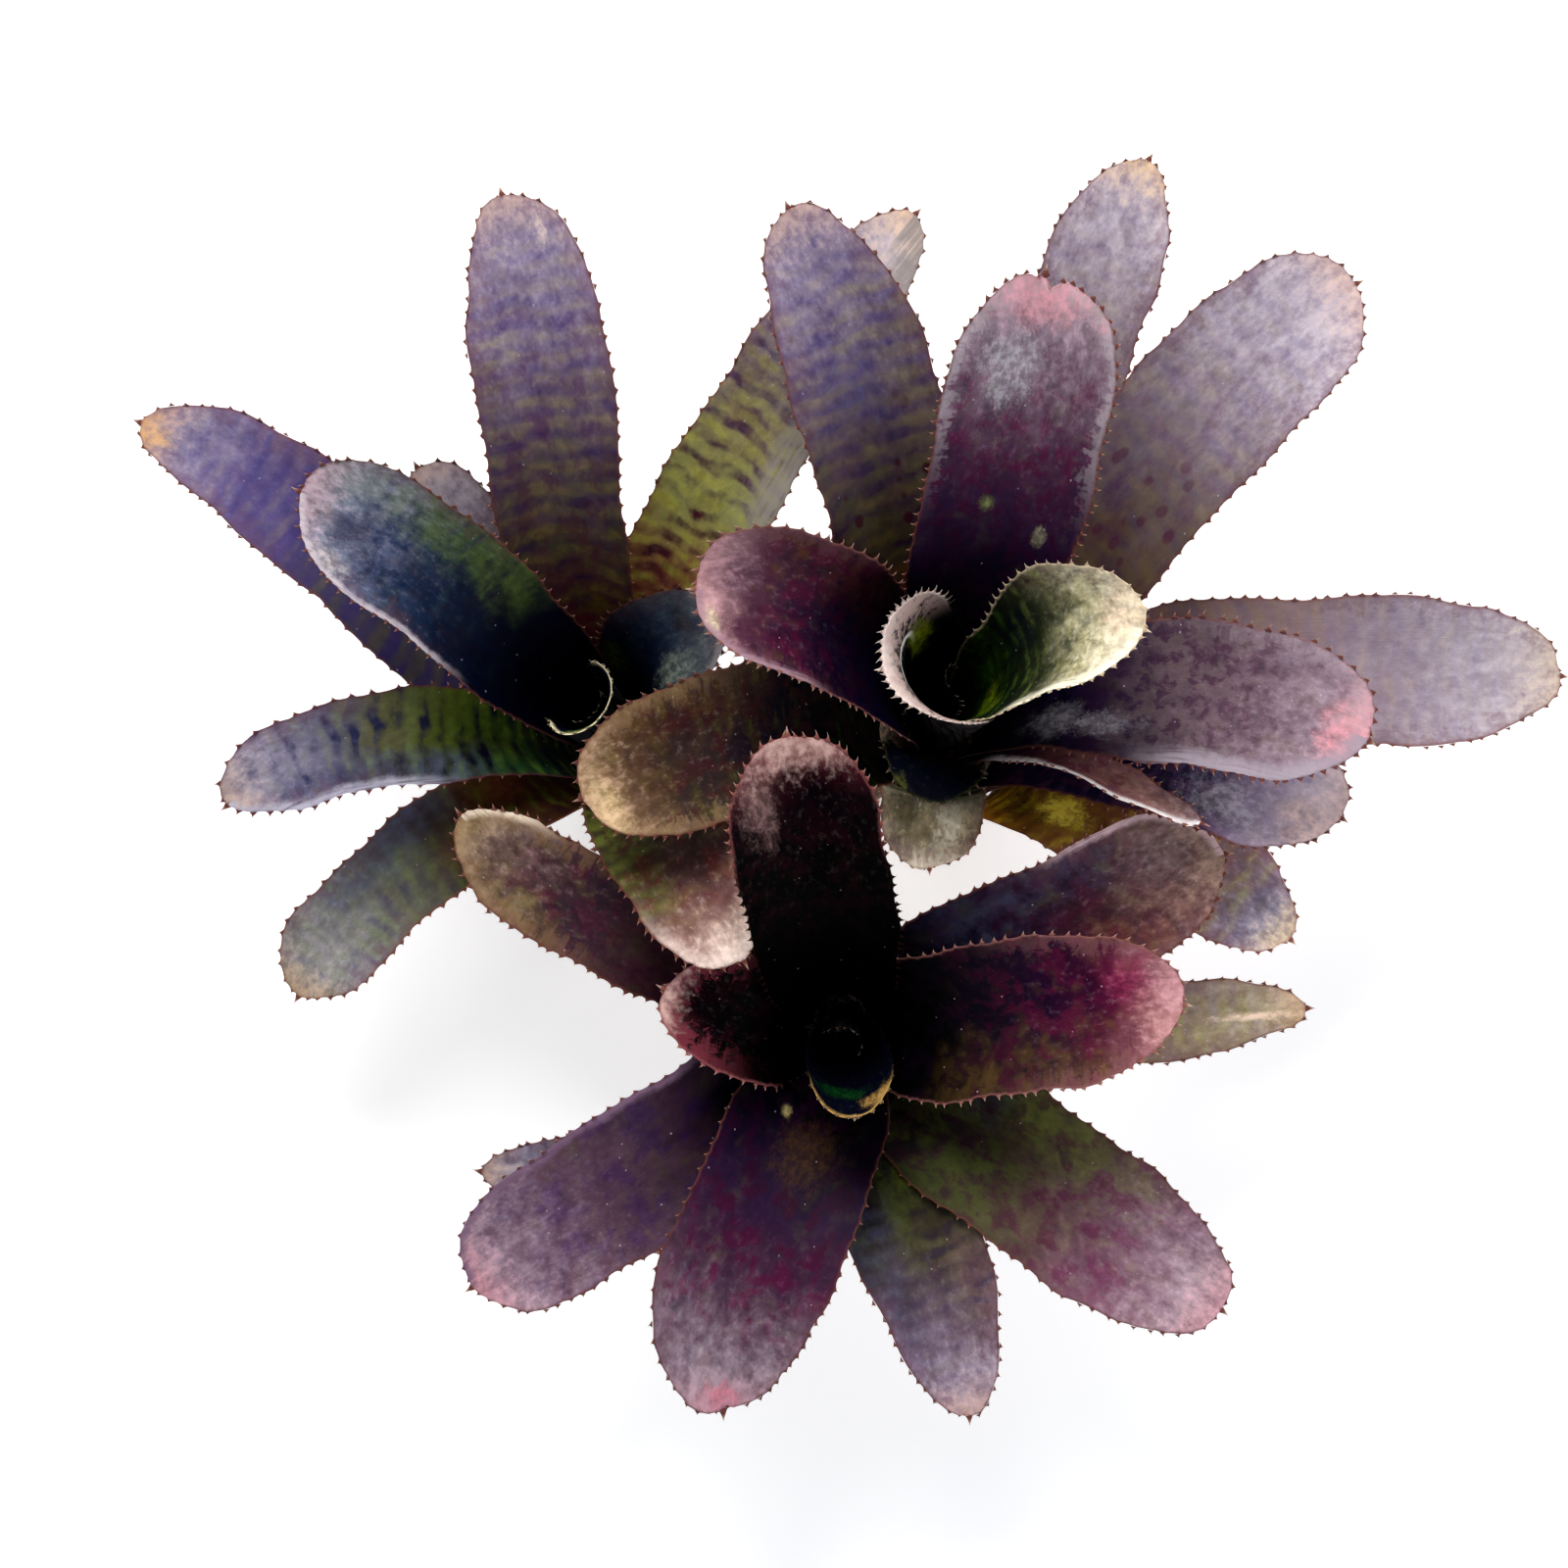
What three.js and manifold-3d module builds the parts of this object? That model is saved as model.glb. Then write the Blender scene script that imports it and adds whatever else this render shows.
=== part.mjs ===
// A clump of three neoregelia rosettes on one creeping rootstock.
// Millimetres, +Z up. The origin is the middle of the rootstock, on the surface that the clump rests on.

import * as THREE from 'three';
import { mergeVertices } from 'three/addons/utils/BufferGeometryUtils.js';
import Module from 'manifold-3d';

const wasm = await Module();
wasm.setup();

// ---- Driving dimensions, in millimetres unless the note says otherwise ----

const BLADE_THICKNESS = 0.8;      // thickness of a leaf between its margins
const BEVEL = 2.2;                // width of the thin band along each margin
const LEAST_FLAT = 0.62;          // least share of a leaf's width that lies inside those bands
const TIP_SPINE = 2.5;            // length of the spine at the leaf's tip
const ROUND_END = 0.8;            // length of the rounded end, as a share of the width
const TOOTH_SPACING = 5.6;        // distance between the teeth of a margin
const TOOTH_HEIGHT = 1.1;         // how far a tooth stands out of the margin
const TOOTH_HOOK = 0.8;           // how far a tooth's point lies ahead of its middle
const FIRST_TOOTH = 0.36;         // where the teeth begin, as a share of the leaf's length

const CORE_RADIUS = 5.6;          // radius of the innermost ring of leaf bases
const RING_PITCH = 1.5;           // distance from one ring of leaf bases to the next
const CORE_HEIGHT = 22;           // height at which the innermost leaf bases start
const RING_DROP = 1.1;            // how much lower each ring outwards starts
const TANK_HEIGHT = 58;           // how far the innermost leaves climb to form the tank
const RISE_LOSS = 1.5;            // how much less each ring outwards climbs
const TANK_FLARE = 5;             // how much the tank widens on the way up
const OVERHANG = 0.5;             // part of a leaf's reach that its outer half shapes, as a share
const STEEP = 1;                  // slope in radians above which a leaf counts as upright
const UPRIGHT_OVERHANG = 22;      // the length that the outer half of an upright leaf shapes

const SHEATH_SHARE = 0.52;        // half the width of a leaf's clasping base, as a share of its width
const SHEATH_WRAP = 1.7;          // how far the innermost base reaches round, in radians
const WRAP_LOSS = 0.15;           // how much less each ring outwards reaches round, in radians
const MOST_WRAP = 2;              // the furthest that any base reaches round, in radians
const LEAST_WRAP = 1;             // the least that any base reaches round, in radians
const SHEATH_END = 0.4;           // where the clasping base has become the neck, as a share of the length
const NECK_SHARE = 0.93;          // width of most leaves at the neck, as a share of their width
const NECK_SPAN = [0.35, 0.65];   // where the neck widens into the blade, as shares of the length
const OPENING_SPAN = [0.28, 0.6]; // where the clasp opens into the blade's trough, as shares of the length
const BLADE_CURL = 44;            // radius of the trough that most blades form across their width
const BOW_SCALE = 256 / 27;       // makes the furthest point of a sideways bend equal to its bow

const FOOT_RADIUS = 13;           // flat underside of each stem
const FOOT_HEIGHT = 3;            // height at which a stem has swelled out above its foot
const FOOT_SWELL = 3;             // how much wider a stem is there
const STEM_TOP = 4;               // height of a stem's top above the innermost leaf bases
const STEM_TOP_RADIUS = 2;        // radius of a stem halfway up that top
const STEM_MARGIN = 0.6;          // further clearance inside the innermost leaf bases
const JOIN_GAP = 0.35;            // clearance between a stem and the leaf bases around it
const HUB_RADIUS = 13;            // flat underside in the middle of the rootstock
const HUB_SHOULDER = [12, 6];     // radius and height of the hub's shoulder
const HUB_CROWN = [6, 11];        // radius and height of the hub's crown
const HUB_HEIGHT = 12;            // height of the hub
const RUNNER_RADIUS = 5;          // radius of the runners between the hub and the stems
const RUNNER_SINK = 1;            // depth of a runner below the surface before it is cut flat
const RUNNER_ARCH = 0.5;          // how much higher a runner lies halfway along
const GROUND_SLAB = [300, 20];    // width and depth of the slab that cuts the rootstock flat

// Each leaf's tip is given from the middle of its stem's foot. ring counts the leaf bases outwards from
// the heart. width is the width of its outer half, and neck is the width at its neck as a share of that.
// slope is its climb at the tip, in degrees. clasp is how much further up it keeps clasping before it
// opens, as a share of its length. curl is the radius of its trough, where it differs from most blades.
// bow bends it sideways. roll turns the blade about its midrib, in degrees. end is the length of its
// rounded end, as a share of its width. rise is how far it climbs beside the stem, where it differs from
// its ring.

const ROSETTES = [
  {
    name: 'left',
    foot: [-41, 20],
    lean: [-0.19, 0.20],
    leaves: [
      { name: 'bud', color: 0x4a4632, tip: [-9, 10, 62], ring: -1.5, width: 14, slope: 84,
        curl: 5, rise: 22 },
      { name: 'heart', color: 0x3f3836, tip: [-5.5, 9, 84], ring: 0.2, width: 33, slope: 72,
        clasp: 1, end: 0.5 },
      { name: 'channel', color: 0x3e4652, tip: [-79, 62.5, 104], ring: 1, width: 34, slope: 8,
        neck: 0.95, curl: 27, bow: -3.5, end: 0.65 },
      { name: 'inner_right', color: 0x38343a, tip: [26, 32, 76], ring: 2.1, width: 33, slope: 20,
        curl: 27, bow: 2 },
      { name: 'top', color: 0x6b5a6c, tip: [-30.5, 136.5, 92], ring: 3.2, width: 34, slope: 0,
        neck: 0.88, bow: -4.8, end: 1.1 },
      { name: 'lower_right', color: 0x665344, tip: [30, -53, 82], ring: 3.2, width: 33, slope: 8 },
      { name: 'side', color: 0x55564c, tip: [-100.5, -15, 72], ring: 4.3, width: 24, slope: -12,
        neck: 1, bow: -5.5, roll: -15, end: 1.2 },
      { name: 'upper_right', color: 0x7c7656, tip: [72.5, 134.5, 72], ring: 4.3, width: 29, slope: -4,
        neck: 1.06, bow: 1, end: 1.9 },
      { name: 'lower', color: 0x77726a, tip: [-86, -64, 44], ring: 5.3, width: 25, slope: -18,
        neck: 1, bow: -3, rise: 40 },
      { name: 'short', color: 0x7a7070, tip: [-54, 72.5, 64], ring: 6.4, width: 24, slope: -6, end: 0.9 },
      { name: 'far', color: 0x786f90, tip: [-124.5, 83, 60], ring: 7.5, width: 31, slope: -12,
        neck: 1.3, bow: -4, end: 2.2 },
    ],
  },
  {
    name: 'right',
    foot: [36, 21],
    lean: [0.09, 0.29],
    leaves: [
      { name: 'bud', color: 0x3d3a30, tip: [2, 18, 64], ring: -1.5, width: 14, slope: 84,
        curl: 5, rise: 22 },
      { name: 'heart', color: 0x8f8a62, tip: [48.5, 27, 112], ring: 0, width: 38, slope: 40,
        neck: 0.82, curl: 20, bow: 4 },
      { name: 'inner_left', color: 0x756358, tip: [-16.5, 18, 92], ring: 1, width: 50, slope: -20,
        neck: 1, clasp: 1, end: 0.5, rise: 36 },
      { name: 'inner_top', color: 0x5c4654, tip: [23, 113, 120], ring: 2.2, width: 41.5, slope: 26,
        curl: 40, bow: -2, end: 0.58 },
      { name: 'middle_left', color: 0x53303f, tip: [-62, 37.5, 98], ring: 3.2, width: 37.5, slope: 10,
        neck: 0.99, curl: 27, bow: -3.2, end: 0.58 },
      { name: 'inner_side', color: 0x6e5763, tip: [105.5, 0.5, 88], ring: 3, width: 37, slope: 2,
        neck: 0.76, bow: 4, end: 0.75 },
      { name: 'folded', color: 0x5c3a3e, tip: [67, -19.3, 72], ring: 4.2, width: 14, slope: 4,
        curl: 16, bow: -2.5, roll: -45, end: 3, rise: 44 },
      { name: 'inner_bottom', color: 0x3a352b, tip: [-4.5, -14.5, 66], ring: 5.3, width: 25.5,
        slope: 30, end: 0.6 },
      { name: 'top', color: 0x665a72, tip: [-38.5, 131.5, 96], ring: 5.2, width: 36.5, slope: 4,
        neck: 1.02, bow: -1.5, end: 1.25 },
      { name: 'lower_left', color: 0x5a4636, tip: [-89.5, -13.5, 88], ring: 6.3, width: 37.5, slope: 0,
        neck: 0.96, bow: -0.8 },
      { name: 'corner', color: 0x877a8c, tip: [103, 114, 84], ring: 6.3, width: 39, slope: -6,
        neck: 0.99, bow: 4, end: 0.75 },
      { name: 'side', color: 0x7f6d78, tip: [102, -18.5, 67], ring: 7.5, width: 34, slope: -4, bow: 1.5 },
      { name: 'behind', color: 0x9388a0, tip: [53.8, 149, 60], ring: 8.5, width: 30, slope: -10,
        bow: 2, end: 1.3 },
      { name: 'old', color: 0x86806a, tip: [-0.5, -33, 36], ring: 8.8, width: 27.5, slope: -20,
        bow: -2.2, end: 0.58 },
      { name: 'far', color: 0x9b8c9e, tip: [158.5, 18, 58], ring: 9.4, width: 38.5, slope: -12,
        neck: 1.08, end: 1.15 },
      { name: 'lower', color: 0x6d6064, tip: [92.5, -50, 42], ring: 10.4, width: 32, slope: -16,
        neck: 1.08, end: 1.3, rise: 38 },
    ],
  },
  {
    name: 'front',
    foot: [12, -47],
    lean: [0.02, -0.10],
    leaves: [
      { name: 'bud', color: 0x2e2a26, tip: [3, -3, 60], ring: -1.5, width: 14, slope: 84,
        curl: 5, rise: 22 },
      { name: 'heart', color: 0x332d2a, tip: [3, -23, 86], ring: 0, width: 34, slope: 78, clasp: 1 },
      { name: 'back', color: 0x3c2230, tip: [-14, 72.5, 104], ring: 1, width: 39.5, slope: 14,
        neck: 0.86, curl: 27, end: 0.62 },
      { name: 'inner_right', color: 0x4f2130, tip: [84.5, 5.5, 92], ring: 2, width: 39.5, slope: 8,
        neck: 1, curl: 34, bow: 3.5 },
      { name: 'inner_left', color: 0x4a2230, tip: [-46, 9, 70], ring: 3, width: 34, slope: 12,
        curl: 27, bow: 0.7 },
      { name: 'upper_right', color: 0x513a44, tip: [98, 42, 61], ring: 3.3, width: 35, slope: -2,
        neck: 1.18, bow: 3, end: 0.75 },
      { name: 'bottom_left', color: 0x5a3048, tip: [-29, -99, 70], ring: 4, width: 43.5, slope: -4,
        neck: 0.98, bow: -7 },
      { name: 'lower_left', color: 0x664a5c, tip: [-94.5, -69, 56], ring: 5, width: 36.5, slope: -10,
        neck: 0.98, bow: -2 },
      { name: 'bottom', color: 0x65584e, tip: [32.5, -102, 57], ring: 7.3, width: 34.5, slope: -8,
        neck: 0.95, bow: 2, end: 1.75 },
      { name: 'upper_left', color: 0x55403f, tip: [-97, 53, 60], ring: 6, width: 27.5, slope: -4,
        neck: 1, bow: 4.5, end: 1.25 },
      { name: 'lower_right', color: 0x795f6c, tip: [97, -74, 59], ring: 6.2, width: 39, slope: -10,
        neck: 1.05, end: 1 },
      { name: 'old', color: 0x6f6650, tip: [-94.5, -40, 38], ring: 7.3, width: 13, slope: -12, bow: 6 },
      { name: 'side', color: 0x8d8068, tip: [120, 2.5, 50], ring: 8.4, width: 21.5, slope: -8, end: 2.4 },
    ],
  },
];

// ---- The bent blade ----

const radians = THREE.MathUtils.degToRad;

function smooth(low, high, value) {
  return THREE.MathUtils.smoothstep(value, low, high);
}

// Radius of the ring that a leaf's base stands on.
function baseRadius(leaf) {
  return CORE_RADIUS + RING_PITCH * leaf.ring;
}

// Length of a leaf's rounded end.
function roundEnd(leaf) {
  return (leaf.end ?? ROUND_END) * leaf.width;
}

// The midrib climbs out of the tank and arches over to the tip, in the plane (distance out, height).
function midribCurve(leaf, reach) {
  const start = new THREE.Vector2(baseRadius(leaf), CORE_HEIGHT - RING_DROP * leaf.ring);
  const tip = new THREE.Vector2(reach, leaf.tip[2]);
  const rise = leaf.rise ?? TANK_HEIGHT - RISE_LOSS * leaf.ring;
  const wall = new THREE.Vector2(start.x + TANK_FLARE, start.y + rise);
  const slope = radians(leaf.slope);
  const overhang = slope > STEEP ? UPRIGHT_OVERHANG : OVERHANG * (reach - start.x);
  const arch = new THREE.Vector2(tip.x - overhang * Math.cos(slope), tip.y - overhang * Math.sin(slope));
  return new THREE.CubicBezierCurve(start, wall, arch, tip);
}

// Half the width of the flat leaf at a distance from its base.
function halfWidth(leaf, length, along) {
  const end = roundEnd(leaf);
  const half = leaf.width / 2;
  const fromTip = Math.max(length - along, 0);
  const round = fromTip < end ? Math.sqrt(1 - (1 - fromTip / end) ** 2) : 1;
  const neck = THREE.MathUtils.lerp(leaf.neck ?? NECK_SHARE, 1, smooth(...NECK_SPAN, along / length));
  const wrap = THREE.MathUtils.clamp(SHEATH_WRAP - WRAP_LOSS * leaf.ring, LEAST_WRAP, MOST_WRAP);
  const sheath = Math.min(SHEATH_SHARE * leaf.width, wrap * baseRadius(leaf));
  return round * THREE.MathUtils.lerp(sheath, half * neck, smooth(0, SHEATH_END, along / length));
}

// Returns a function that bends the flat leaf: distance along, distance across, height above its middle.
function bentLeaf(leaf, lean, azimuth, reach) {
  const curve = midribCurve(leaf, reach);
  const whole = curve.getLength();
  const length = whole - TIP_SPINE;
  const leanOut = lean[0] * Math.cos(azimuth) + lean[1] * Math.sin(azimuth);
  const leanSide = lean[1] * Math.cos(azimuth) - lean[0] * Math.sin(azimuth);
  const curl = leaf.curl ?? BLADE_CURL;
  const bow = leaf.bow ?? 0;
  const roll = radians(leaf.roll ?? 0);

  function midrib(along) {
    const share = THREE.MathUtils.clamp(along / whole, 0, 1);
    const flat = curve.getPointAt(share);
    const over = along - share * whole;
    if (over !== 0) {
      flat.addScaledVector(curve.getTangentAt(share), over);
    }
    const side = bow * BOW_SCALE * share ** 3 * (1 - share);
    return new THREE.Vector3(flat.x + leanOut * flat.y, side + leanSide * flat.y, flat.y);
  }

  // The leaf's middle surface: a clasp round the stem that opens into the trough of the blade.
  function middle(along, across) {
    const share = THREE.MathUtils.clamp(along / whole, 0, 1);
    const centre = midrib(along);
    const radius = curve.getPointAt(share).x;
    const angle = across / radius;
    const sheath = centre.clone();
    sheath.x += radius * (Math.cos(angle) - 1);
    sheath.y += radius * Math.sin(angle);
    const ahead = midrib(Math.min(along + 1, whole));
    const behind = midrib(Math.min(along + 1, whole) - 2);
    const forward = ahead.sub(behind).normalize();
    const sideways = new THREE.Vector3(0, 1, 0);
    sideways.addScaledVector(forward, -sideways.dot(forward)).normalize();
    const upper = new THREE.Vector3().crossVectors(forward, sideways);
    const opened = smooth(...OPENING_SPAN, share - (leaf.clasp ?? 0));
    sideways.applyAxisAngle(forward, roll * opened);
    upper.applyAxisAngle(forward, roll * opened);
    const bend = across / curl;
    const blade = centre.clone();
    blade.addScaledVector(sideways, curl * Math.sin(bend));
    blade.addScaledVector(upper, curl * (1 - Math.cos(bend)));
    return sheath.lerp(blade, opened);
  }

  function place(along, across, lift) {
    const point = middle(along, across);
    if (lift === 0) {
      return point;
    }
    const back = Math.min(along, length - 0.5);
    const alongStep = middle(back + 0.5, across).sub(middle(back - 0.5, across));
    const acrossStep = middle(along, across + 0.5).sub(middle(along, across - 0.5));
    const normal = alongStep.cross(acrossStep).normalize();
    return point.addScaledVector(normal, lift);
  }

  return { length, place };
}

// ---- The closed leaf ----

const ROWS = [-1, -0.52, 0, 0.52, 1];   // lines along the leaf, as shares of the width inside the bevels
const LOWER_STATIONS = 9;               // cross-sections between the base and the rounded end
const END_TURNS = [62, 36, 14];         // cross-sections in the rounded end, in degrees round it
const SMOOTH_PARTS = 3;                 // lengths of margin below the first tooth

// Distances from the base to the cross-sections of the leaf's two faces.
function stations(leaf, length) {
  const end = roundEnd(leaf);
  const list = [];
  for (let i = 0; i <= LOWER_STATIONS; i += 1) {
    list.push((length - end) * i / LOWER_STATIONS);
  }
  for (const turn of END_TURNS) {
    list.push(length - end * (1 - Math.cos(radians(turn))));
  }
  return list;
}

// The toothed margin of one side, from the base to the tip, as flat points.
function margin(leaf, length) {
  const end = roundEnd(leaf);
  const firstTooth = FIRST_TOOTH * length;
  const points = [];
  for (let i = 0; i < SMOOTH_PARTS; i += 1) {
    points.push({ along: firstTooth * i / SMOOTH_PARTS, out: 0 });
  }
  const straight = length - end - firstTooth;
  const curved = Math.PI / 2 * Math.sqrt((end ** 2 + (leaf.width / 2) ** 2) / 2);
  const teeth = Math.round((straight + curved) / TOOTH_SPACING);
  for (let i = 0; i < 2 * teeth; i += 1) {
    const run = (straight + curved) * i / (2 * teeth);
    const turn = Math.max(run - straight, 0) / curved * Math.PI / 2;
    const along = run < straight ? firstTooth + run : length - end * (1 - Math.sin(turn));
    points.push({ along, out: i % 2 === 1 ? TOOTH_HEIGHT : 0 });
  }
  return points.map(({ along, out }) => {
    const width = halfWidth(leaf, length, along);
    const step = halfWidth(leaf, length, along + 0.5) - halfWidth(leaf, length, along - 0.5);
    const turned = along > length - end ? Math.atan(-step) : 0;
    const hook = out > 0 ? TOOTH_HOOK : 0;
    return {
      order: along,
      along: along + out * Math.sin(turned) + hook * Math.cos(turned),
      across: width + out * Math.cos(turned),
    };
  });
}

function leafGeometry(leaf, lean, azimuth, reach) {
  const { length, place } = bentLeaf(leaf, lean, azimuth, reach);
  const cuts = stations(leaf, length);
  const positions = [];
  const triangles = [];
  const put = (point) => {
    positions.push(point.x, point.y, point.z);
    return positions.length / 3 - 1;
  };
  const faces = [1, -1].map((face) => ROWS.map((row) => cuts.map((along) => {
    const half = halfWidth(leaf, length, along);
    const inside = Math.max(half - BEVEL, LEAST_FLAT * half);
    return put(place(along, row * inside, face * BLADE_THICKNESS / 2));
  })));
  const end = length + TIP_SPINE;
  const tip = put(place(end, 0, 0));
  const last = cuts.length - 1;
  // A point of the margin lies halfway between the two faces, which run straight from cut to cut.
  const putEdge = (along, across) => {
    const cut = Math.min(cuts.findLastIndex((station) => station <= along), last);
    const [low, high] = [cuts[cut], cut < last ? cuts[cut + 1] : end];
    return put(place(low, across, 0).lerp(place(high, across, 0), (along - low) / (high - low)));
  };
  const fill = (face, a, b, c) => {
    if (face === 0) {
      triangles.push(a, b, c);
    } else {
      triangles.push(a, c, b);
    }
  };
  faces.forEach((rows, face) => {
    for (let r = 0; r < ROWS.length - 1; r += 1) {
      for (let c = 0; c < last; c += 1) {
        fill(face, rows[r][c], rows[r][c + 1], rows[r + 1][c + 1]);
        fill(face, rows[r][c], rows[r + 1][c + 1], rows[r + 1][c]);
      }
      fill(face, rows[r][last], tip, rows[r + 1][last]);
    }
  });
  for (const side of [-1, 1]) {
    const edge = margin(leaf, length).map((point) => ({
      order: point.order,
      index: putEdge(point.along, side * point.across),
    }));
    edge.push({ order: length, index: tip });
    faces.forEach((rows, face) => {
      const row = side < 0 ? rows[0] : rows[ROWS.length - 1];
      let inner = 0;
      let outer = 0;
      while (inner < last || outer < edge.length - 1) {
        const nextInner = inner < last ? cuts[inner + 1] : Infinity;
        const nextOuter = outer < edge.length - 1 ? edge[outer + 1].order : Infinity;
        if (nextInner < nextOuter) {
          if (side < 0) {
            fill(face, row[inner], edge[outer].index, row[inner + 1]);
          } else {
            fill(face, row[inner], row[inner + 1], edge[outer].index);
          }
          inner += 1;
        } else {
          if (side < 0) {
            fill(face, row[inner], edge[outer].index, edge[outer + 1].index);
          } else {
            fill(face, row[inner], edge[outer + 1].index, edge[outer].index);
          }
          outer += 1;
        }
      }
    });
    const start = edge[0].index;
    const [top, bottom] = faces.map((rows) => (side < 0 ? rows[0][0] : rows[ROWS.length - 1][0]));
    if (side < 0) {
      triangles.push(start, top, bottom);
    } else {
      triangles.push(start, bottom, top);
    }
  }
  for (let r = 0; r < ROWS.length - 1; r += 1) {
    const [topA, topB] = [faces[0][r][0], faces[0][r + 1][0]];
    const [lowA, lowB] = [faces[1][r][0], faces[1][r + 1][0]];
    triangles.push(topA, topB, lowB, topA, lowB, lowA);
  }
  const geometry = new THREE.BufferGeometry();
  geometry.setAttribute('position', new THREE.Float32BufferAttribute(positions, 3));
  geometry.setIndex(triangles);
  geometry.computeVertexNormals();
  return geometry;
}

// ---- The rootstock: three stems and the runners that join them, grown as one piece ----

const STEM_SIDES = 20;
const HUB_SIDES = 16;
const RUNNER_STEPS = 5;                 // lengths of a runner
const RUNNER_ARCS = 5;                  // parts of each quarter of a runner's outline

function solidOf(geometry) {
  const bare = geometry.clone();
  bare.deleteAttribute('normal');
  bare.deleteAttribute('uv');
  const merged = mergeVertices(bare, 1e-3);
  return new wasm.Manifold(new wasm.Mesh({
    numProp: 3,
    vertProperties: new Float32Array(merged.attributes.position.array),
    triVerts: new Uint32Array(merged.index.array),
  }));
}

function geometryOf(solid) {
  const mesh = solid.getMesh();
  const geometry = new THREE.BufferGeometry();
  geometry.setAttribute('position', new THREE.Float32BufferAttribute(mesh.vertProperties, 3));
  geometry.setIndex(new THREE.Uint32BufferAttribute(mesh.triVerts, 1));
  geometry.computeVertexNormals();
  return geometry;
}

function turned(profile, sides) {
  const geometry = new THREE.LatheGeometry(profile.map(([r, z]) => new THREE.Vector2(r, z)), sides);
  return geometry.rotateX(Math.PI / 2);
}

function stemSolid(rosette) {
  const rings = Math.max(...rosette.leaves.map((leaf) => leaf.ring));
  const clear = BLADE_THICKNESS / 2 + JOIN_GAP;
  const lowest = CORE_HEIGHT - RING_DROP * rings;
  const profile = [
    [0, 0],
    [FOOT_RADIUS, 0],
    [FOOT_RADIUS + FOOT_SWELL, FOOT_HEIGHT],
    [CORE_RADIUS + RING_PITCH * rings - clear, lowest - RING_DROP],
    [CORE_RADIUS - clear - STEM_MARGIN, CORE_HEIGHT - STEM_MARGIN],
    [STEM_TOP_RADIUS, CORE_HEIGHT + STEM_TOP / 2],
    [0, CORE_HEIGHT + STEM_TOP],
  ];
  const geometry = turned(profile, STEM_SIDES);
  const shear = new THREE.Matrix4().set(
    1, 0, rosette.lean[0], rosette.foot[0],
    0, 1, rosette.lean[1], rosette.foot[1],
    0, 0, 1, 0,
    0, 0, 0, 1,
  );
  return solidOf(geometry.applyMatrix4(shear));
}

function runnerSolid(rosette) {
  const height = RUNNER_RADIUS - RUNNER_SINK;
  const start = new THREE.Vector3(0, 0, height);
  const target = new THREE.Vector3(rosette.foot[0], rosette.foot[1], height);
  const rise = start.clone().lerp(target, 0.5).setZ(height + RUNNER_ARCH);
  const extrudePath = new THREE.CatmullRomCurve3([start, rise, target]);
  const section = new THREE.Shape();
  section.absarc(0, 0, RUNNER_RADIUS, 0, 2 * Math.PI);
  const options = { steps: RUNNER_STEPS, curveSegments: RUNNER_ARCS, extrudePath };
  return solidOf(new THREE.ExtrudeGeometry(section, options));
}

function rootstock() {
  const hub = turned([[0, 0], [HUB_RADIUS, 0], HUB_SHOULDER, HUB_CROWN, [0, HUB_HEIGHT]], HUB_SIDES);
  let solid = solidOf(hub);
  for (const rosette of ROSETTES) {
    solid = solid.add(stemSolid(rosette)).add(runnerSolid(rosette));
  }
  const [slabWidth, slabDepth] = GROUND_SLAB;
  const below = new THREE.BoxGeometry(slabWidth, slabWidth, slabDepth).translate(0, 0, -slabDepth / 2);
  const mesh = new THREE.Mesh(geometryOf(solid.subtract(solidOf(below))), new THREE.MeshStandardMaterial({
    color: 0x6b4a2f,
    roughness: 0.9,
    metalness: 0,
  }));
  mesh.name = 'rootstock';
  return mesh;
}

// ---- The clump ----

function leafMaterial(leaf) {
  return new THREE.MeshStandardMaterial({
    color: leaf.color,
    roughness: 0.45,
    metalness: 0,
    side: THREE.DoubleSide,
  });
}

function rosetteGroup(rosette) {
  const group = new THREE.Group();
  group.position.set(rosette.foot[0], rosette.foot[1], 0);
  for (const leaf of rosette.leaves) {
    const out = leaf.tip[0] - rosette.lean[0] * leaf.tip[2];
    const side = leaf.tip[1] - rosette.lean[1] * leaf.tip[2];
    const azimuth = Math.atan2(side, out);
    const geometry = leafGeometry(leaf, rosette.lean, azimuth, Math.hypot(out, side));
    const mesh = new THREE.Mesh(geometry, leafMaterial(leaf));
    mesh.name = `${rosette.name}_${leaf.name}_leaf`;
    mesh.rotation.z = azimuth;
    group.add(mesh);
  }
  return group;
}

const clump = new THREE.Group();
clump.add(rootstock());
for (const rosette of ROSETTES) {
  clump.add(rosetteGroup(rosette));
}

export default clump;
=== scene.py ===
"""A clump of three neoregelia rosettes: spiny, crossbanded leaves on a creeping, fibrous rootstock."""

import math

import bpy
import numpy as np
from bpy.props import EnumProperty, FloatProperty, FloatVectorProperty, PointerProperty
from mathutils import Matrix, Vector, noise


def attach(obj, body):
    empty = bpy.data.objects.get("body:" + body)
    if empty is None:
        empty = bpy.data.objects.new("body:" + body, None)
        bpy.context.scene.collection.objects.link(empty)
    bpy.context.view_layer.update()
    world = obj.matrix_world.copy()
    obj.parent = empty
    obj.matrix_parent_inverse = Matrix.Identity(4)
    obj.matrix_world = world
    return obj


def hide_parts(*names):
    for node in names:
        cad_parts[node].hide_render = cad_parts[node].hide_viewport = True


bl_info = {
    "name": "Neoregelia Clump",
    "version": (1, 0, 0),
    "blender": (4, 5, 0),
    "location": "View3D > Sidebar > Bromeliad",
    "description": "Builds three neoregelia rosettes with spiny, crossbanded leaves on one rootstock",
    "category": "Object",
}

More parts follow.
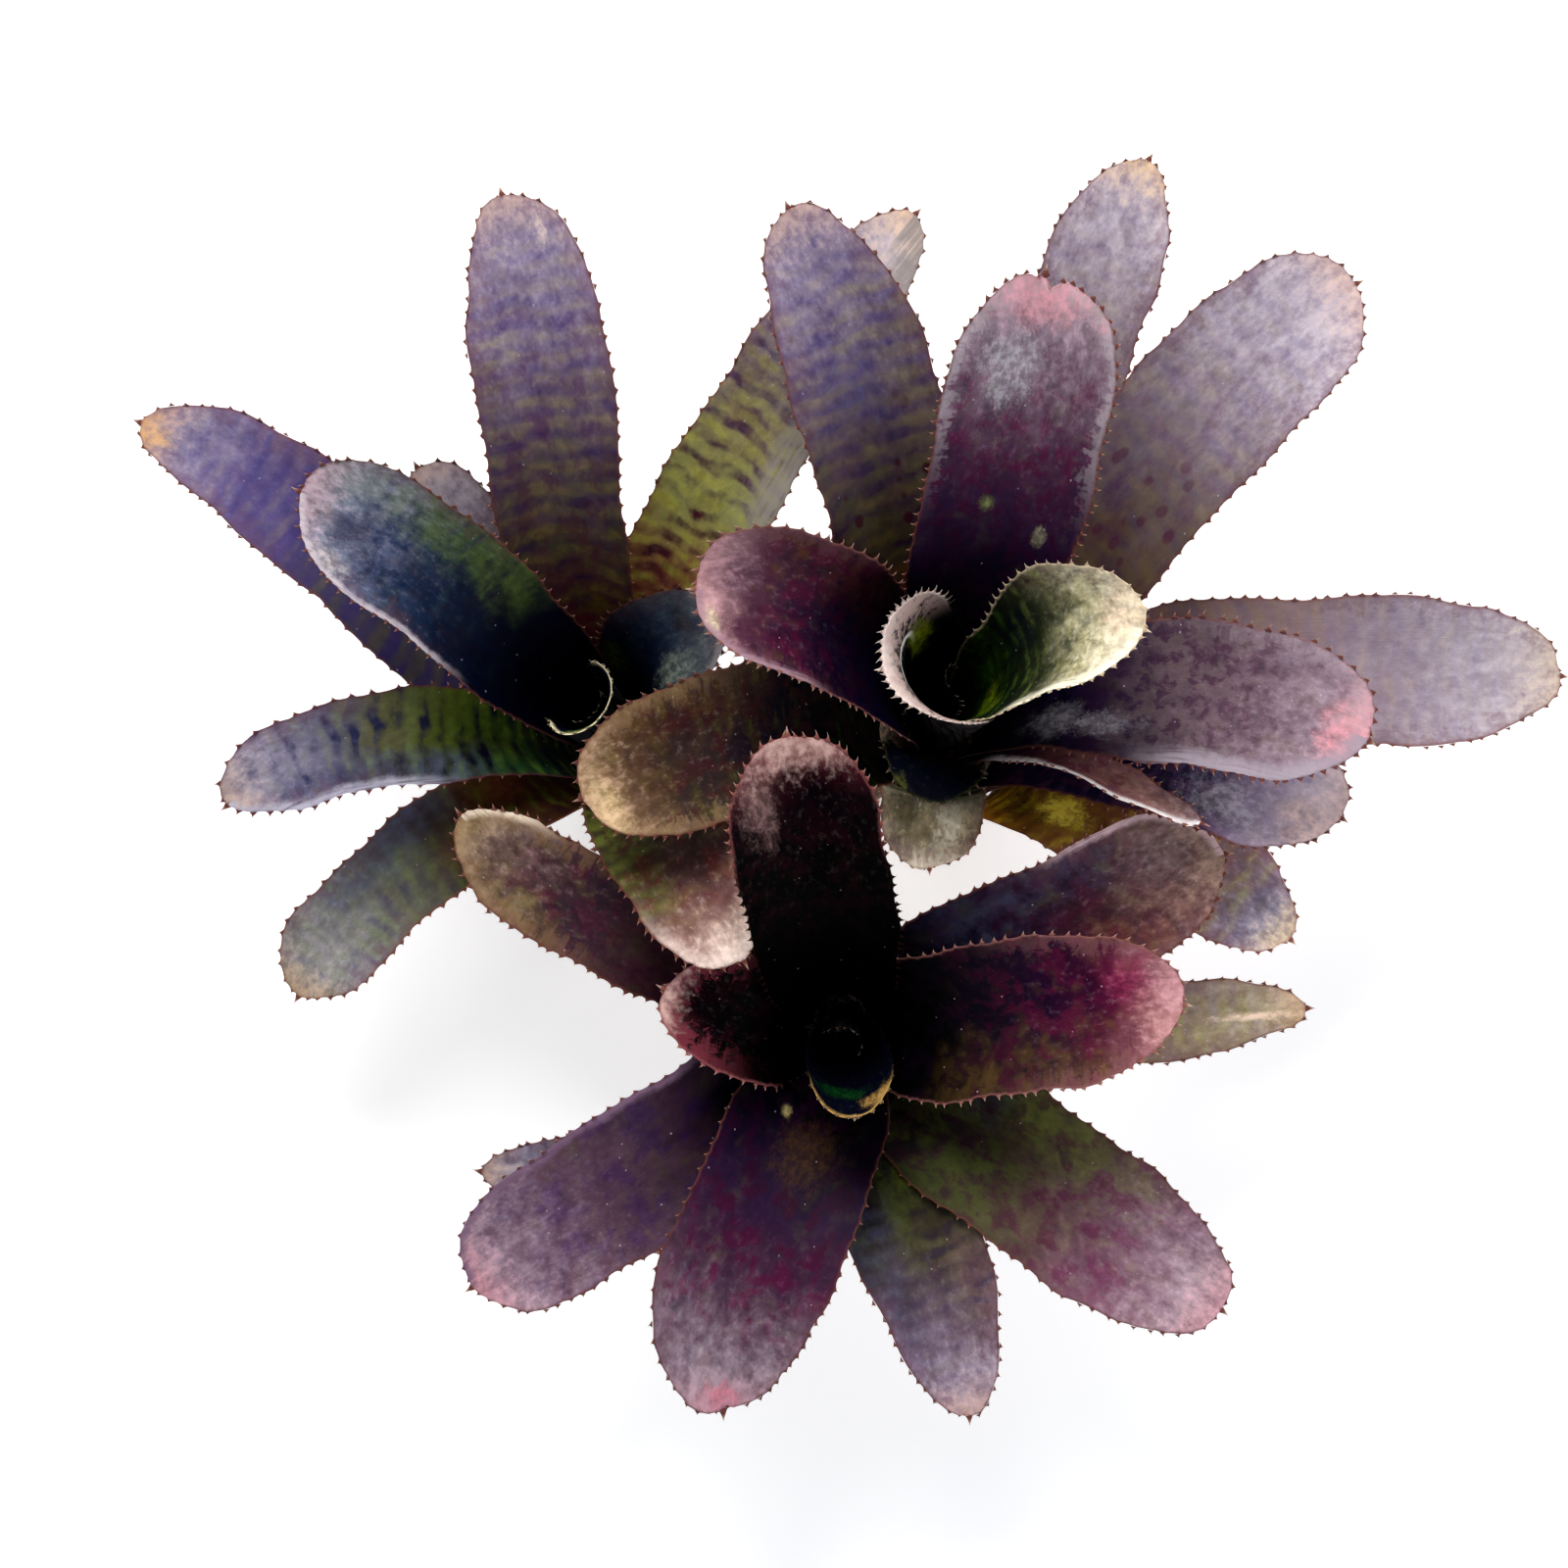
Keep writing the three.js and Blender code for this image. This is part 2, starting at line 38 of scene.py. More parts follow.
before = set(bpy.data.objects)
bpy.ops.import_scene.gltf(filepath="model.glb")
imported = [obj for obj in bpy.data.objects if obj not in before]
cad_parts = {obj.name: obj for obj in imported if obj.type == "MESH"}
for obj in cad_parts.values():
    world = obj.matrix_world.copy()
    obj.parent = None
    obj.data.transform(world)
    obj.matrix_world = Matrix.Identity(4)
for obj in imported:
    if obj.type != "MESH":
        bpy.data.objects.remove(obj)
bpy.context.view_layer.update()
MM = 0.001


def put(name, data):
    """A new object in the scene."""
    made = bpy.data.objects.new(name, data)
    bpy.context.scene.collection.objects.link(made)
    return made


def tint(code, level=1.0):
    """A linear colour from a six-figure hexadecimal code."""
    parts = [int(code[i:i + 2], 16) / 255 for i in (0, 2, 4)]
    return [level * (p / 12.92 if p <= 0.04045 else ((p + 0.055) / 1.055) ** 2.4) for p in parts]


# ---- The leaves of each rosette: millimetres and degrees ----


def leaf(name, tip, ring, width, slope, paint, neck=0.93, clasp=0, curl=44, bow=0, roll=0, end=0.8, rise=None,
         **touches):
    """tip is measured from the middle of the stem's foot, ring counts outwards, slope is the tip's climb.

    touches change single values of the leaf's paint or of its thorns.
    """
    return {"name": name, "tip": tip, "ring": ring, "width": width, "slope": slope, "paint": paint,
            "neck": neck, "clasp": clasp, "curl": curl, "bow": bow, "roll": roll, "end": end, "rise": rise,
            "touches": touches}


OUTER_THORNS = {"thorn_length": 0.7, "thorn_spacing": 1.15}      # shares of what the inner leaves have

ROSETTES = {
    "left": {
        "foot": (-41, 20),
        "lean": (-0.19, 0.2),
        "leaves": [
            leaf("bud", (-9, 10, 62), -1.5, 14, 84, "deep_shade", curl=5, rise=22),
            # Its pale rim near the tip is a painted highlight on the heart's lip; the rest is painted shade.
            leaf("heart", (-5.5, 9, 84), 0.2, 33, 72, "deep_shade", clasp=1, end=0.5, rim="e8dcb4", rim_width=1.7,
                 rim_share=1, rim_from=0.86, marks=[(58, -8, 3, 5, "6c8030", 0.8)]),
            leaf("channel", (-79, 62.5, 104), 1, 34, 8, "slate", neck=0.95, curl=27, bow=-3.5, end=0.65,
                 level=0.8, fold=1, fold_from=0.5, fold_width=2.2,
                 sides=[(-1, 0.52, 0.84, "586c28", 1), (-1, 0.82, 1, "98a08c", 0.6)],
                 # The two pale marks near the tip, at 104 and 108 mm, are painted highlights.
                 marks=[(99, 4, 7, 6, "2a2244", 0.85), (108, -3, 4, 8, "b8a8a8", 0.5),
                        (104, 12, 8, 3, "d8ccc8", 0.7)]),
            leaf("inner_right", (26, 32, 76), 2.1, 33, 20, "slate", curl=27, bow=2, level=0.32,
                 scurf="8c9c88", fold=-1, fold_from=0.72, fold_width=2.5,
                 # The pale mark at 53 mm is a painted highlight.
                 marks=[(28, 10, 9, 5, "566812", 0.85), (53, -6, 8, 4, "b8c4b4", 0.8),
                        (62, 2, 3, 6, "4c3c34", 0.6)]),
            leaf("top", (-30.5, 136.5, 92), 3.2, 34, 0, "violet", neck=0.88, bow=-4.8, end=1.1, level=0.96,
                 marks=[(36, 0, 5, 9, "5c1426", 0.75), (44, -5, 4, 3, "5c4410", 0.6),
                        (133, -6, 4, 1.6, "e0ccc4", 0.6)], **OUTER_THORNS),
            leaf("lower_right", (30, -53, 82), 3.2, 33, 8, "rose", hem=("6c6840", "f4e0d8"), hem_width=4,
                 hem_share=0.5, hem_from=0.7, sides=[(-1, 0.45, 0.8, "5c6424", 0.9)]),
            leaf("side", (-100.5, -15, 72), 4.3, 24, -12, "olive", neck=1, bow=-5.5, roll=-15, end=1.2,
                 rim="5c2a34", fold=1, fold_from=0.45, fold_width=3, fold_tint="c0bccc", thorn_spacing=1.3,
                 sides=[(1, 0.42, 0.94, "3a3c62", 1), (1, 0.22, 0.42, "143c24", 0.85)]),
            leaf("upper_right", (72.5, 134.5, 72), 4.3, 29, -4, "lime", neck=1.06, bow=1, end=1.9, fold=-1,
                 fold_from=0.36, fold_width=13, fold_tint="8c8480",
                 marks=[(44, -6, 5, 5, "4c0c1c", 0.8), (50, 4, 4, 3, "4c1420", 0.6),
                        (152, 0, 8, 9, "cbbcc4", 0.6)], **OUTER_THORNS),
            leaf("lower", (-86, -64, 44), 5.3, 25, -18, "grey", neck=1, bow=-3, rise=40, rim="7c4434",
                 sides=[(-1, 0.45, 0.92, "42466c", 0.7), (-1, 0.8, 1, "8c9058", 0.5)],
                 marks=[(34, -3, 6, 6, "5c2c14", 0.7)], **OUTER_THORNS),
            leaf("short", (-54, 72.5, 64), 6.4, 24, -6, "lilac", end=0.9, level=0.42, **OUTER_THORNS),
            leaf("far", (-124.5, 83, 60), 7.5, 31, -12, "indigo", neck=1.3, bow=-4, end=2.2,
                 sides=[(1, 0.3, 0.6, "3c3a34", 0.8), (-1, 0.55, 0.85, "7c6880", 0.5)],
                 marks=[(136, 2, 5, 4, "dcac68", 0.7)], **OUTER_THORNS),
        ],
    },
    "right": {
        "foot": (36, 21),
        "lean": (0.09, 0.29),
        "leaves": [
            leaf("bud", (2, 18, 64), -1.5, 14, 84, "deep_shade", curl=5, rise=22),
            leaf("heart", (48.5, 27, 112), 0, 38, 40, "cream", neck=0.82, curl=20, bow=4, fold=-1,
                 fold_from=0.5, fold_width=5, fold_tint="fffbe0",
                 marks=[(30, -3, 5, 4, "7c8c10", 0.9), (37, -9, 5, 4, "5c7010", 0.9),
                        (27, 6, 5, 4, "2c5008", 0.8), (52, 8, 8, 6, "04061c", 0.75),
                        (88, 3, 5, 6, "f0d0b4", 0.7)]),
            leaf("inner_left", (-16.5, 18, 92), 1, 50, -20, "deep_shade", neck=1, clasp=1, end=0.5, rise=36,
                 scurf="f4e4dc", bloom=0.45, bloom_from=0.82, blush="e4cec6", blush_share=0.4, rim="f4e4dc",
                 rim_from=0.8, hem=("806864", "c8aca4"), hem_width=13, hem_share=1, hem_from=0.6,
                 # The thin pale line near the margin is a painted highlight where this cup leaf bends over.
                 crest=(12.5, 1.1, "fffdf0"), thorn_length=1.7, thorn_spacing=0.6, thorn_tint="a08478",
                 thorn_tip="f4ecdc", marks=[(46, -14, 8, 4, "8c9c18", 0.9)]),
            leaf("inner_top", (23, 113, 120), 2.2, 41.5, 26, "plum", curl=40, bow=-2, end=0.58,
                 blotch_size=4.5, hem=("5c4c5c", "b4a6aa"), hem_width=4, hem_share=0.7, notch=(-1, 3, 2.6),
                 thorn_length=1.2, thorn_spacing=0.85,
                 marks=[(105, 6, 8, 7, "d0d0d4", 0.5), (120, 0, 5, 8, "e8989c", 0.5),
                        (67, -11, 2.4, 1.6, "c8c89c", 0.6), (72, 4, 1.8, 1.8, "a4b060", 0.5)]),
            leaf("middle_left", (-62, 37.5, 98), 3.2, 37.5, 10, "maroon", neck=0.99, curl=27, bow=-3.2,
                 end=0.58, level=0.8,
                 ground=((0.3, "01010f"), (0.42, "0a0322"), (0.55, "10041e"), (0.66, "18061f"),
                         (0.76, "2e102e"), (0.88, "5a3445"), (0.96, "9c747a"), (1, "c49c9c")), bloom=0.1,
                 hem=("3c1420", "946870"), hem_width=4, hem_share=0.3, fold=1, fold_from=0.6, fold_width=3,
                 fold_tint="b08c98", thorn_length=1.3, sides=[(-1, 0.5, 0.84, "4c2020", 0.8)],
                 marks=[(103, 8, 2.2, 4, "fff4c0", 1), (84, 10, 12, 3, "5c1c3c", 0.4),
                        (98, -6, 6, 7, "a4808c", 0.5), (64, 2, 14, 10, "100628", 0.6)]),
            leaf("inner_side", (105.5, 0.5, 88), 3, 37, 2, "plum", neck=0.76, bow=4, end=0.75,
                 ground=((0.38, "020318"), (0.46, "27112e"), (0.56, "54444c"), (0.68, "68545c"),
                         (0.8, "745c68"), (0.92, "947884"), (1, "d8b4b8")), blotch=("1c0a2c", "5c3a4c"),
                 blotch_size=4, hem=("4c3c48", "b8a4ac"), hem_width=4, hem_share=0.4, fold=-1, fold_from=0.5,
                 fold_width=6, fold_tint="a498a4", thorn_length=1.35,
                 marks=[(119, -3, 6, 8, "ec9ca4", 0.7), (46, -6, 9, 4, "a8a4b0", 0.5),
                        (60, -8, 8, 3, "b4b0b8", 0.5)]),
            leaf("folded", (67, -19.3, 72), 4.2, 14, 4, "wine", curl=16, bow=-2.5, roll=-45, end=3, rise=44,
                 level=1.8,
                 ground=((0.3, "1c0b2a"), (0.42, "3c1828"), (0.55, "503030"), (0.65, "6c4442"),
                         (0.8, "80584f"), (1, "6c4c48")), blush="8c7480", hem=("54303a", "6c5058"), fold=-1,
                 fold_from=0.2, fold_width=2.4, fold_tint="e4dedc"),
            leaf("inner_bottom", (-4.5, -14.5, 66), 5.3, 25.5, 30, "deep_shade", end=0.6, rim="2c3010",
                 rim_from=0.6, marks=[(54, -8, 3, 3, "8c8c3c", 0.7)]),
            leaf("top", (-38.5, 131.5, 96), 5.2, 36.5, 4, "violet", neck=1.02, bow=-1.5, end=1.25, level=0.95,
                 blotches=0.15, spots=0.9, sides=[(-1, 0.5, 0.85, "6c6048", 0.5)],
                 marks=[(40, 3, 7, 9, "703c18", 0.85), (45, 6, 5, 4, "4c1424", 0.9),
                        (38, -5, 4, 5, "500c20", 0.8), (95, 3, 10, 8, "44447c", 0.5)], **OUTER_THORNS),
            leaf("lower_left", (-89.5, -13.5, 88), 6.3, 37.5, 0, "tan", neck=0.96, bow=-0.8, level=0.85,
                 hem=("3c3020", "b8946c"), hem_width=5, hem_share=0.4, sides=[(-1, 0.6, 0.9, "6c4828", 0.5)],
                 marks=[(121, 5, 4, 8, "f4d89c", 0.7), (96, -2, 10, 8, "34242a", 0.6)]),
            leaf("corner", (103, 114, 84), 6.3, 39, -6, "lilac", neck=0.99, bow=4, end=0.75, spots=0.6,
                 marks=[(75, 3, 5, 3.5, "402450", 0.7), (60, 8, 7, 4, "483058", 0.6)], **OUTER_THORNS),
            # Its level of 1.25 brightens a leaf that lies in shade: painted light.
            leaf("side", (102, -18.5, 67), 7.5, 34, -4, "lilac", bow=1.5, level=1.25,
                 ground=((0.5, "0d0228"), (0.62, "1b1334"), (0.72, "3c3048"), (0.82, "84748a"),
                         (0.92, "bcaab4"), (1, "dcc4c8")), light_bands=0.1, bloom_from=0.85, specks=1,
                 grit=0.9, hem_share=0.1, sides=[(1, 0.3, 0.8, "181032", 0.8)],
                 marks=[(84, -8, 10, 5, "d4ccd4", 0.5), (104, -6, 6, 6, "e4c0b0", 0.6)]),
            leaf("behind", (53.8, 149, 60), 8.5, 30, -10, "lilac", bow=2, end=1.3, level=0.9, blush="e8bc78",
                 **OUTER_THORNS),
            # Its level of 2.6 is painted light: it brightens this low leaf, which lies in shade, to stand in
            # for the light it catches from below.
            leaf("old", (-0.5, -33, 36), 8.8, 27.5, -20, "pale", bow=-2.2, end=0.58, level=2.6,
                 ground=((0.45, "2a2a1c"), (0.58, "94907a"), (0.7, "948868"), (0.82, "6c6048"),
                         (0.95, "a8a08c")), scurf="f0dcb0", bloom=0.08, gloss=0.02, thorn_length=0.5,
                 marks=[(30, -7, 8, 6, "141a08", 0.8), (36, 5, 5, 4, "ece4cc", 0.8)]),
            leaf("far", (158.5, 18, 58), 9.4, 38.5, -12, "mist", neck=1.08, end=1.15,
                 sides=[(1, 0.25, 0.6, "907460", 0.5)], **OUTER_THORNS),
            leaf("lower", (92.5, -50, 42), 10.4, 32, -16, "bronze", neck=1.08, end=1.3, rise=38, level=2,
                 marks=[(24, -8, 7, 6, "040806", 0.9), (37, -6, 6, 4, "f0dc50", 1),
                        (30, 4, 7, 4, "7c7c0c", 0.8)], **OUTER_THORNS),
        ],
    },
    "front": {
        "foot": (12, -47),
        "lean": (0.02, -0.1),
        "leaves": [
            leaf("bud", (3, -3, 60), -1.5, 14, 84, "deep_shade", curl=5, rise=22),
            # Its golden rim and the two golden marks are painted highlights on the heart's lower lip; the
            # rest is painted shade.
            leaf("heart", (3, -23, 86), 0, 34, 78, "deep_shade", clasp=1, rim="c09858", rim_width=1.3,
                 rim_share=0.9, rim_from=0.93,
                 marks=[(57, 8, 4, 5, "c89c54", 0.9), (60, 11, 3, 3, "f4dca0", 0.8),
                        (50, -3, 3, 6, "083c0c", 0.8)]),
            leaf("back", (-14, 72.5, 104), 1, 39.5, 14, "black", neck=0.86, curl=27, end=0.62, level=0.8,
                 specks=0.4, rim_from=0.82, hem_from=0.82, thorn_length=1.3, thorn_spacing=0.85,
                 marks=[(106, 11, 11, 4, "a8807c", 0.6)]),
            leaf("inner_right", (84.5, 5.5, 92), 2, 39.5, 8, "maroon", neck=1, curl=34, bow=3.5,
                 hem=("3c101c", "a4706c"), hem_width=5, hem_share=0.35,
                 sides=[(-1, 0.45, 0.84, "5c4420", 0.6)],
                 marks=[(101, 6, 6, 7, "b03c64", 0.5), (107, -4, 5, 8, "c08c84", 0.5)]),
            leaf("inner_left", (-46, 9, 70), 3, 34, 12, "black", curl=27, bow=0.7, hem=("100208", "7c3440"),
                 hem_width=7, hem_from=0.6),
            leaf("upper_right", (98, 42, 61), 3.3, 35, -2, "wine", neck=1.18, bow=3, end=0.75, level=0.94,
                 blotches=0.3, fold=1, fold_from=0.62, fold_width=2.5, fold_tint="e0c0c4",
                 sides=[(1, 0.42, 0.8, "34344c", 0.85), (-1, 0.6, 0.95, "7c4438", 0.6)],
                 marks=[(106, 6, 9, 6, "8c7c84", 0.35)]),
            leaf("bottom_left", (-29, -99, 70), 4, 43.5, -4, "plum", neck=0.98, bow=-7, level=0.85,
                 blotches=1, blush="c08c98", notch=(0, 2, 1.5),
                 marks=[(46, 2, 10, 8, "4a3218", 0.6), (110, 0, 3.5, 5, "ec7890", 0.75),
                        (36, -7, 1.8, 1.5, "d8c47c", 0.7)], **OUTER_THORNS),
            leaf("lower_left", (-94.5, -69, 56), 5, 36.5, -10, "plum", neck=0.98, bow=-2,
                 ground=((0.3, "0d0810"), (0.44, "2a1426"), (0.55, "3e2a38"), (0.66, "553c4c"),
                         (0.78, "64485c"), (0.9, "86687a"), (1, "b08e98")), blotch=("20083c", "54306c"),
                 blotches=0.45, blotch_size=9, fold=-1, fold_from=0.3, fold_width=3, fold_tint="7c6078",
                 **OUTER_THORNS),
            leaf("bottom", (32.5, -102, 57), 7.3, 34.5, -8, "dusk", neck=0.95, bow=2, end=1.75,
                 sides=[(-1, 0.45, 0.9, "3c3c64", 0.6), (1, 0.6, 0.95, "785c58", 0.6)],
                 marks=[(42, 8, 8, 6, "747010", 0.9), (38, -4, 8, 6, "3c4414", 0.6)], **OUTER_THORNS),
            leaf("upper_left", (-97, 53, 60), 6, 27.5, -4, "wine", neck=1, bow=4.5, end=1.25,
                 ground=((0.4, "3a1024"), (0.55, "3a2428"), (0.7, "34232e"), (0.82, "40282e"),
                         (0.9, "5c443c"), (1, "846c4c")), blotches=0.4, blush="8c7440",
                 hem=("4c1c34", "8c6c4c"), hem_share=0.6, fold=-1, fold_from=0.78, fold_width=2.5,
                 fold_tint="f0dcc4", sides=[(1, 0.75, 1, "6c5c28", 0.8)]),
            leaf("lower_right", (97, -74, 59), 6.2, 39, -10, "mauve", neck=1.05, end=1,
                 sides=[(1, 0.45, 0.75, "6c7434", 0.6), (1, 0.22, 0.4, "1c2c48", 0.7)], **OUTER_THORNS),
            leaf("old", (-94.5, -40, 38), 7.3, 13, -12, "olive", bow=6, level=0.9, **OUTER_THORNS),
            leaf("side", (120, 2.5, 50), 8.4, 21.5, -8, "straw", end=2.4,
                 sides=[(1, 0.5, 0.8, "6c5468", 0.4)], marks=[(108, -1, 12, 1, "f8d8c0", 0.8)],
                 **OUTER_THORNS),
        ],
    },
}


# ---- Leaf shapes: millimetres, in each leaf's own frame, X along its reach and Z up ----

CORE_RADIUS = 5.6        # radius of the innermost ring of leaf bases
RING_PITCH = 1.5         # distance from one ring of leaf bases to the next
CORE_HEIGHT = 22         # height at which the innermost leaf bases start
RING_DROP = 1.1          # how much lower each ring outwards starts
TANK_HEIGHT = 58         # how far the innermost leaves climb to form the tank
RISE_LOSS = 1.5          # how much less each ring outwards climbs
TANK_FLARE = 5           # how much the tank widens on the way up
OVERHANG = 0.5           # share of a leaf's reach that its outer half shapes
STEEP = 1                # slope in radians above which a leaf counts as upright
UPRIGHT_OVERHANG = 22    # the length that the outer half of an upright leaf shapes
TIP_SPINE = 2.5          # length of the spine at the leaf's tip
SHEATH_SHARE = 0.52      # half the width of the clasping base, as a share of the leaf's width
SHEATH_WRAP = 1.7        # how far the innermost base reaches round, in radians
WRAP_LOSS = 0.15         # how much less each ring outwards reaches round, in radians
WRAP_RANGE = (1, 2)      # the least and the furthest that a base reaches round, in radians
SHEATH_END = 0.4         # where the clasping base has become the neck, as a share of the length
NECK_SPAN = (0.35, 0.65)
OPENING_SPAN = (0.28, 0.6)
BOW_SCALE = 256 / 27     # makes the furthest point of a sideways bend equal to its bow
CURVE_STEPS = 200


def smooth(low, high, value):
    """0 below low, 1 above high, and a soft step between them."""
    share = np.clip((value - low) / (high - low), 0, 1)
    return share * share * (3 - 2 * share)


def unit(vectors):
    return vectors / np.linalg.norm(vectors, axis=-1, keepdims=True)


class BentLeaf:
    """A flat leaf bent into a clasping base, a tank wall and an arching blade."""

    def __init__(self, leaf, lean):
        x, y, height = leaf["tip"]
        out = x - lean[0] * height
        side = y - lean[1] * height
        self.leaf = leaf
        self.azimuth = math.atan2(side, out)
        cos, sin = math.cos(self.azimuth), math.sin(self.azimuth)
        self.lean_out = lean[0] * cos + lean[1] * sin
        self.lean_side = lean[1] * cos - lean[0] * sin
        self.base = CORE_RADIUS + RING_PITCH * leaf["ring"]
        self.end = leaf["end"] * leaf["width"]
        self.lay_midrib(math.hypot(out, side), height)
        self.whole = self.runs[-1]
        self.length = self.whole - TIP_SPINE

    def lay_midrib(self, reach, height):
        leaf = self.leaf
        slope = math.radians(leaf["slope"])
        start = np.array([self.base, CORE_HEIGHT - RING_DROP * leaf["ring"]])
        rise = leaf["rise"] or TANK_HEIGHT - RISE_LOSS * leaf["ring"]
        overhang = UPRIGHT_OVERHANG if slope > STEEP else OVERHANG * (reach - start[0])
        tip = np.array([reach, height])
        arch = tip - overhang * np.array([math.cos(slope), math.sin(slope)])
        self.handles = np.array([start, start + (TANK_FLARE, rise), arch, tip])
        self.steps = np.linspace(0, 1, CURVE_STEPS + 1)
        points = self.curve(self.steps)
        lengths = np.linalg.norm(np.diff(points, axis=0), axis=1)
        self.runs = np.concatenate([[0], np.cumsum(lengths)])

    def curve(self, t):
        t = np.asarray(t)[..., None]
        a, b, c, d = self.handles
        return a * (1 - t) ** 3 + 3 * b * t * (1 - t) ** 2 + 3 * c * t * t * (1 - t) + d * t ** 3

    def midrib(self, along):
        share = np.clip(along / self.whole, 0, 1)
        flat = self.curve(np.interp(share * self.whole, self.runs, self.steps))
        ends = unit(np.array([self.handles[1] - self.handles[0], self.handles[3] - self.handles[2]]))
        over = along - share * self.whole
        flat = flat + over[..., None] * np.where(over[..., None] < 0, ends[0], ends[1])
        side = self.leaf["bow"] * BOW_SCALE * share ** 3 * (1 - share)
        out, height = flat[..., 0], flat[..., 1]
        return np.stack([out + self.lean_out * height, side + self.lean_side * height, height], axis=-1)

    def half_width(self, along):
        leaf = self.leaf
        from_tip = np.maximum(self.length - along, 0)
        rounding = np.sqrt(1 - (1 - np.minimum(from_tip / self.end, 1)) ** 2)
        neck = leaf["neck"] + (1 - leaf["neck"]) * smooth(*NECK_SPAN, along / self.length)
        wrap = np.clip(SHEATH_WRAP - WRAP_LOSS * leaf["ring"], *WRAP_RANGE)
        sheath = min(SHEATH_SHARE * leaf["width"], wrap * self.base)
        blade = leaf["width"] / 2 * neck
        return rounding * (sheath + (blade - sheath) * smooth(0, SHEATH_END, along / self.length))

    def rounded(self, steps):
        """Places along the leaf that step evenly round its end, up to the tip."""
        turns = np.linspace(math.pi / 2, 0, steps + 1)[1:]
        return self.length - self.end * (1 - np.cos(turns))

    def middle(self, along, across):
        """The leaf's middle surface."""
        share = np.clip(along / self.whole, 0, 1)
        centre = self.midrib(along)
        radius = self.curve(np.interp(share * self.whole, self.runs, self.steps))[..., 0]
        angle = across / radius
        sheath = centre + np.stack([radius * (np.cos(angle) - 1), radius * np.sin(angle), 0 * angle], axis=-1)
        ahead = np.minimum(along + 1, self.whole)
        forward = unit(self.midrib(ahead) - self.midrib(ahead - 2))
        sideways = unit(np.array([0, 1, 0]) - forward * forward[..., 1:2])
        upper = np.cross(forward, sideways)
        opened = smooth(*OPENING_SPAN, share - self.leaf["clasp"])[..., None]
        roll = math.radians(self.leaf["roll"]) * opened
        rolled = sideways * np.cos(roll) + upper * np.sin(roll)
        upper = upper * np.cos(roll) - sideways * np.sin(roll)
        bend = (across / self.leaf["curl"])[..., None]
        blade = centre + self.leaf["curl"] * (rolled * np.sin(bend) + upper * (1 - np.cos(bend)))
        return sheath + (blade - sheath) * opened

    def normal(self, along, across):
        back = np.minimum(along, self.length - 0.5)
        forward = self.middle(back + 0.5, across) - self.middle(back - 0.5, across)
        sideways = self.middle(along, across + 0.5) - self.middle(along, across - 0.5)
        return unit(np.cross(forward, sideways))

    def place(self, along, across, lift):
        along, across = np.broadcast_arrays(np.asarray(along, float), np.asarray(across, float))
        return self.middle(along, across) + self.normal(along, across) * np.asarray(lift)[..., None]


# ---- Fine meshes of the leaves ----

STATION_STEP = 1.15      # distance between the cross-sections of a leaf
END_SECTIONS = 20        # cross-sections in the rounded end
LINES = 29               # lines of points along each face
MARGIN_STEPS = (240, 159)  # points on the margin, along its length and round its end
FIRST_THORN = 0.34       # where the thorns begin, as a share of the leaf's length
THORN_JITTER = 0.2       # how far a thorn strays from its even place, as a share of the spacing
THORN_LENGTHS = (0.7, 1.2)
THORN_FADE = (-0.1, 0.2)  # where the thorns grow from nothing to full length, as shares past FIRST_THORN
THORN_ROOT = 0.25        # how deep a thorn stands in the margin
THORN_HOOK = 0.45        # how far a thorn's point bends toward the leaf's tip, as a share of its length
THORN_FOOT = (0.8, 2.6)  # half the width of a thorn's foot, and how quickly it narrows
THORN_CORE = 0.14        # the part of that half width that narrows evenly
THORN_DEPTH = (0.24, 0.03)   # half a thorn's depth: how much of it narrows, and what is left at the point
SPINE_FOOT = (1.0, 1.5)  # the foot of the spine at the leaf's tip
SPINE_ROOT = 0.7         # how deep that spine stands in the leaf
SPINE_HOOK = 0.1
THORN_SIDES = 6
THORN_RINGS = (0.0, 0.22, 0.5, 0.78)
FLAT_EDGE = 6            # how squarely a blade's thickness ends at its margin
RIB_SPACING = 4.3        # distance between the shallow lengthwise ribs
MARGIN_WAVE = 17         # length of one wave of the margin up and down
WAVE_SPAN = (0.35, 0.6)  # where those waves grow from nothing, as shares of the leaf's length
WAVE_SHIFT = 1.6         # how far the two sides' waves are out of step, each way, in radians
OUTLINE_WAVES = ((0.5, 6.3), (0.25, 2.9))   # depth of each of the outline's waves, and its length over 2 pi
WAVE_START = 12          # over what length, before the first thorn, the waves grow from nothing
WAVE_END = 3             # over what length they die out at the leaf's tip
TOOTH_HEIGHT = 0.4       # how far the tooth below a thorn stands out
TOOTH_WIDTH = 0.85       # half the width of such a tooth
BULGE_REACH = 6          # how narrowly the outline's waves keep to the margin


def lone(*values):
    """Arrays of one value each, for a single place on a leaf."""
    return tuple(np.array([value]) for value in values)


class Shells:
    """Closed shells gathered into one mesh, each with the marks that the paint reads."""

    def __init__(self):
        self.points, self.faces, self.marks = [], [], []

    def add(self, points, faces, marks):
        start = sum(len(part) for part in self.points)
        self.points.append(points)
        self.faces.extend(tuple(start + int(i) for i in face) for face in faces)
        self.marks.append(marks)

    def add_thorn(self, spot, points, faces, share):
        """spot is the thorn's place in the flat leaf, and share runs from its foot to its point."""
        bare = 0 * share
        self.add(points, faces, {
            "blade_mm": np.repeat([[*spot, 0]], len(points), 0), "edge_mm": bare, "margin_mm": bare,
            "upper_face": bare + 1, "thorn": 0.1 + 0.9 * share})


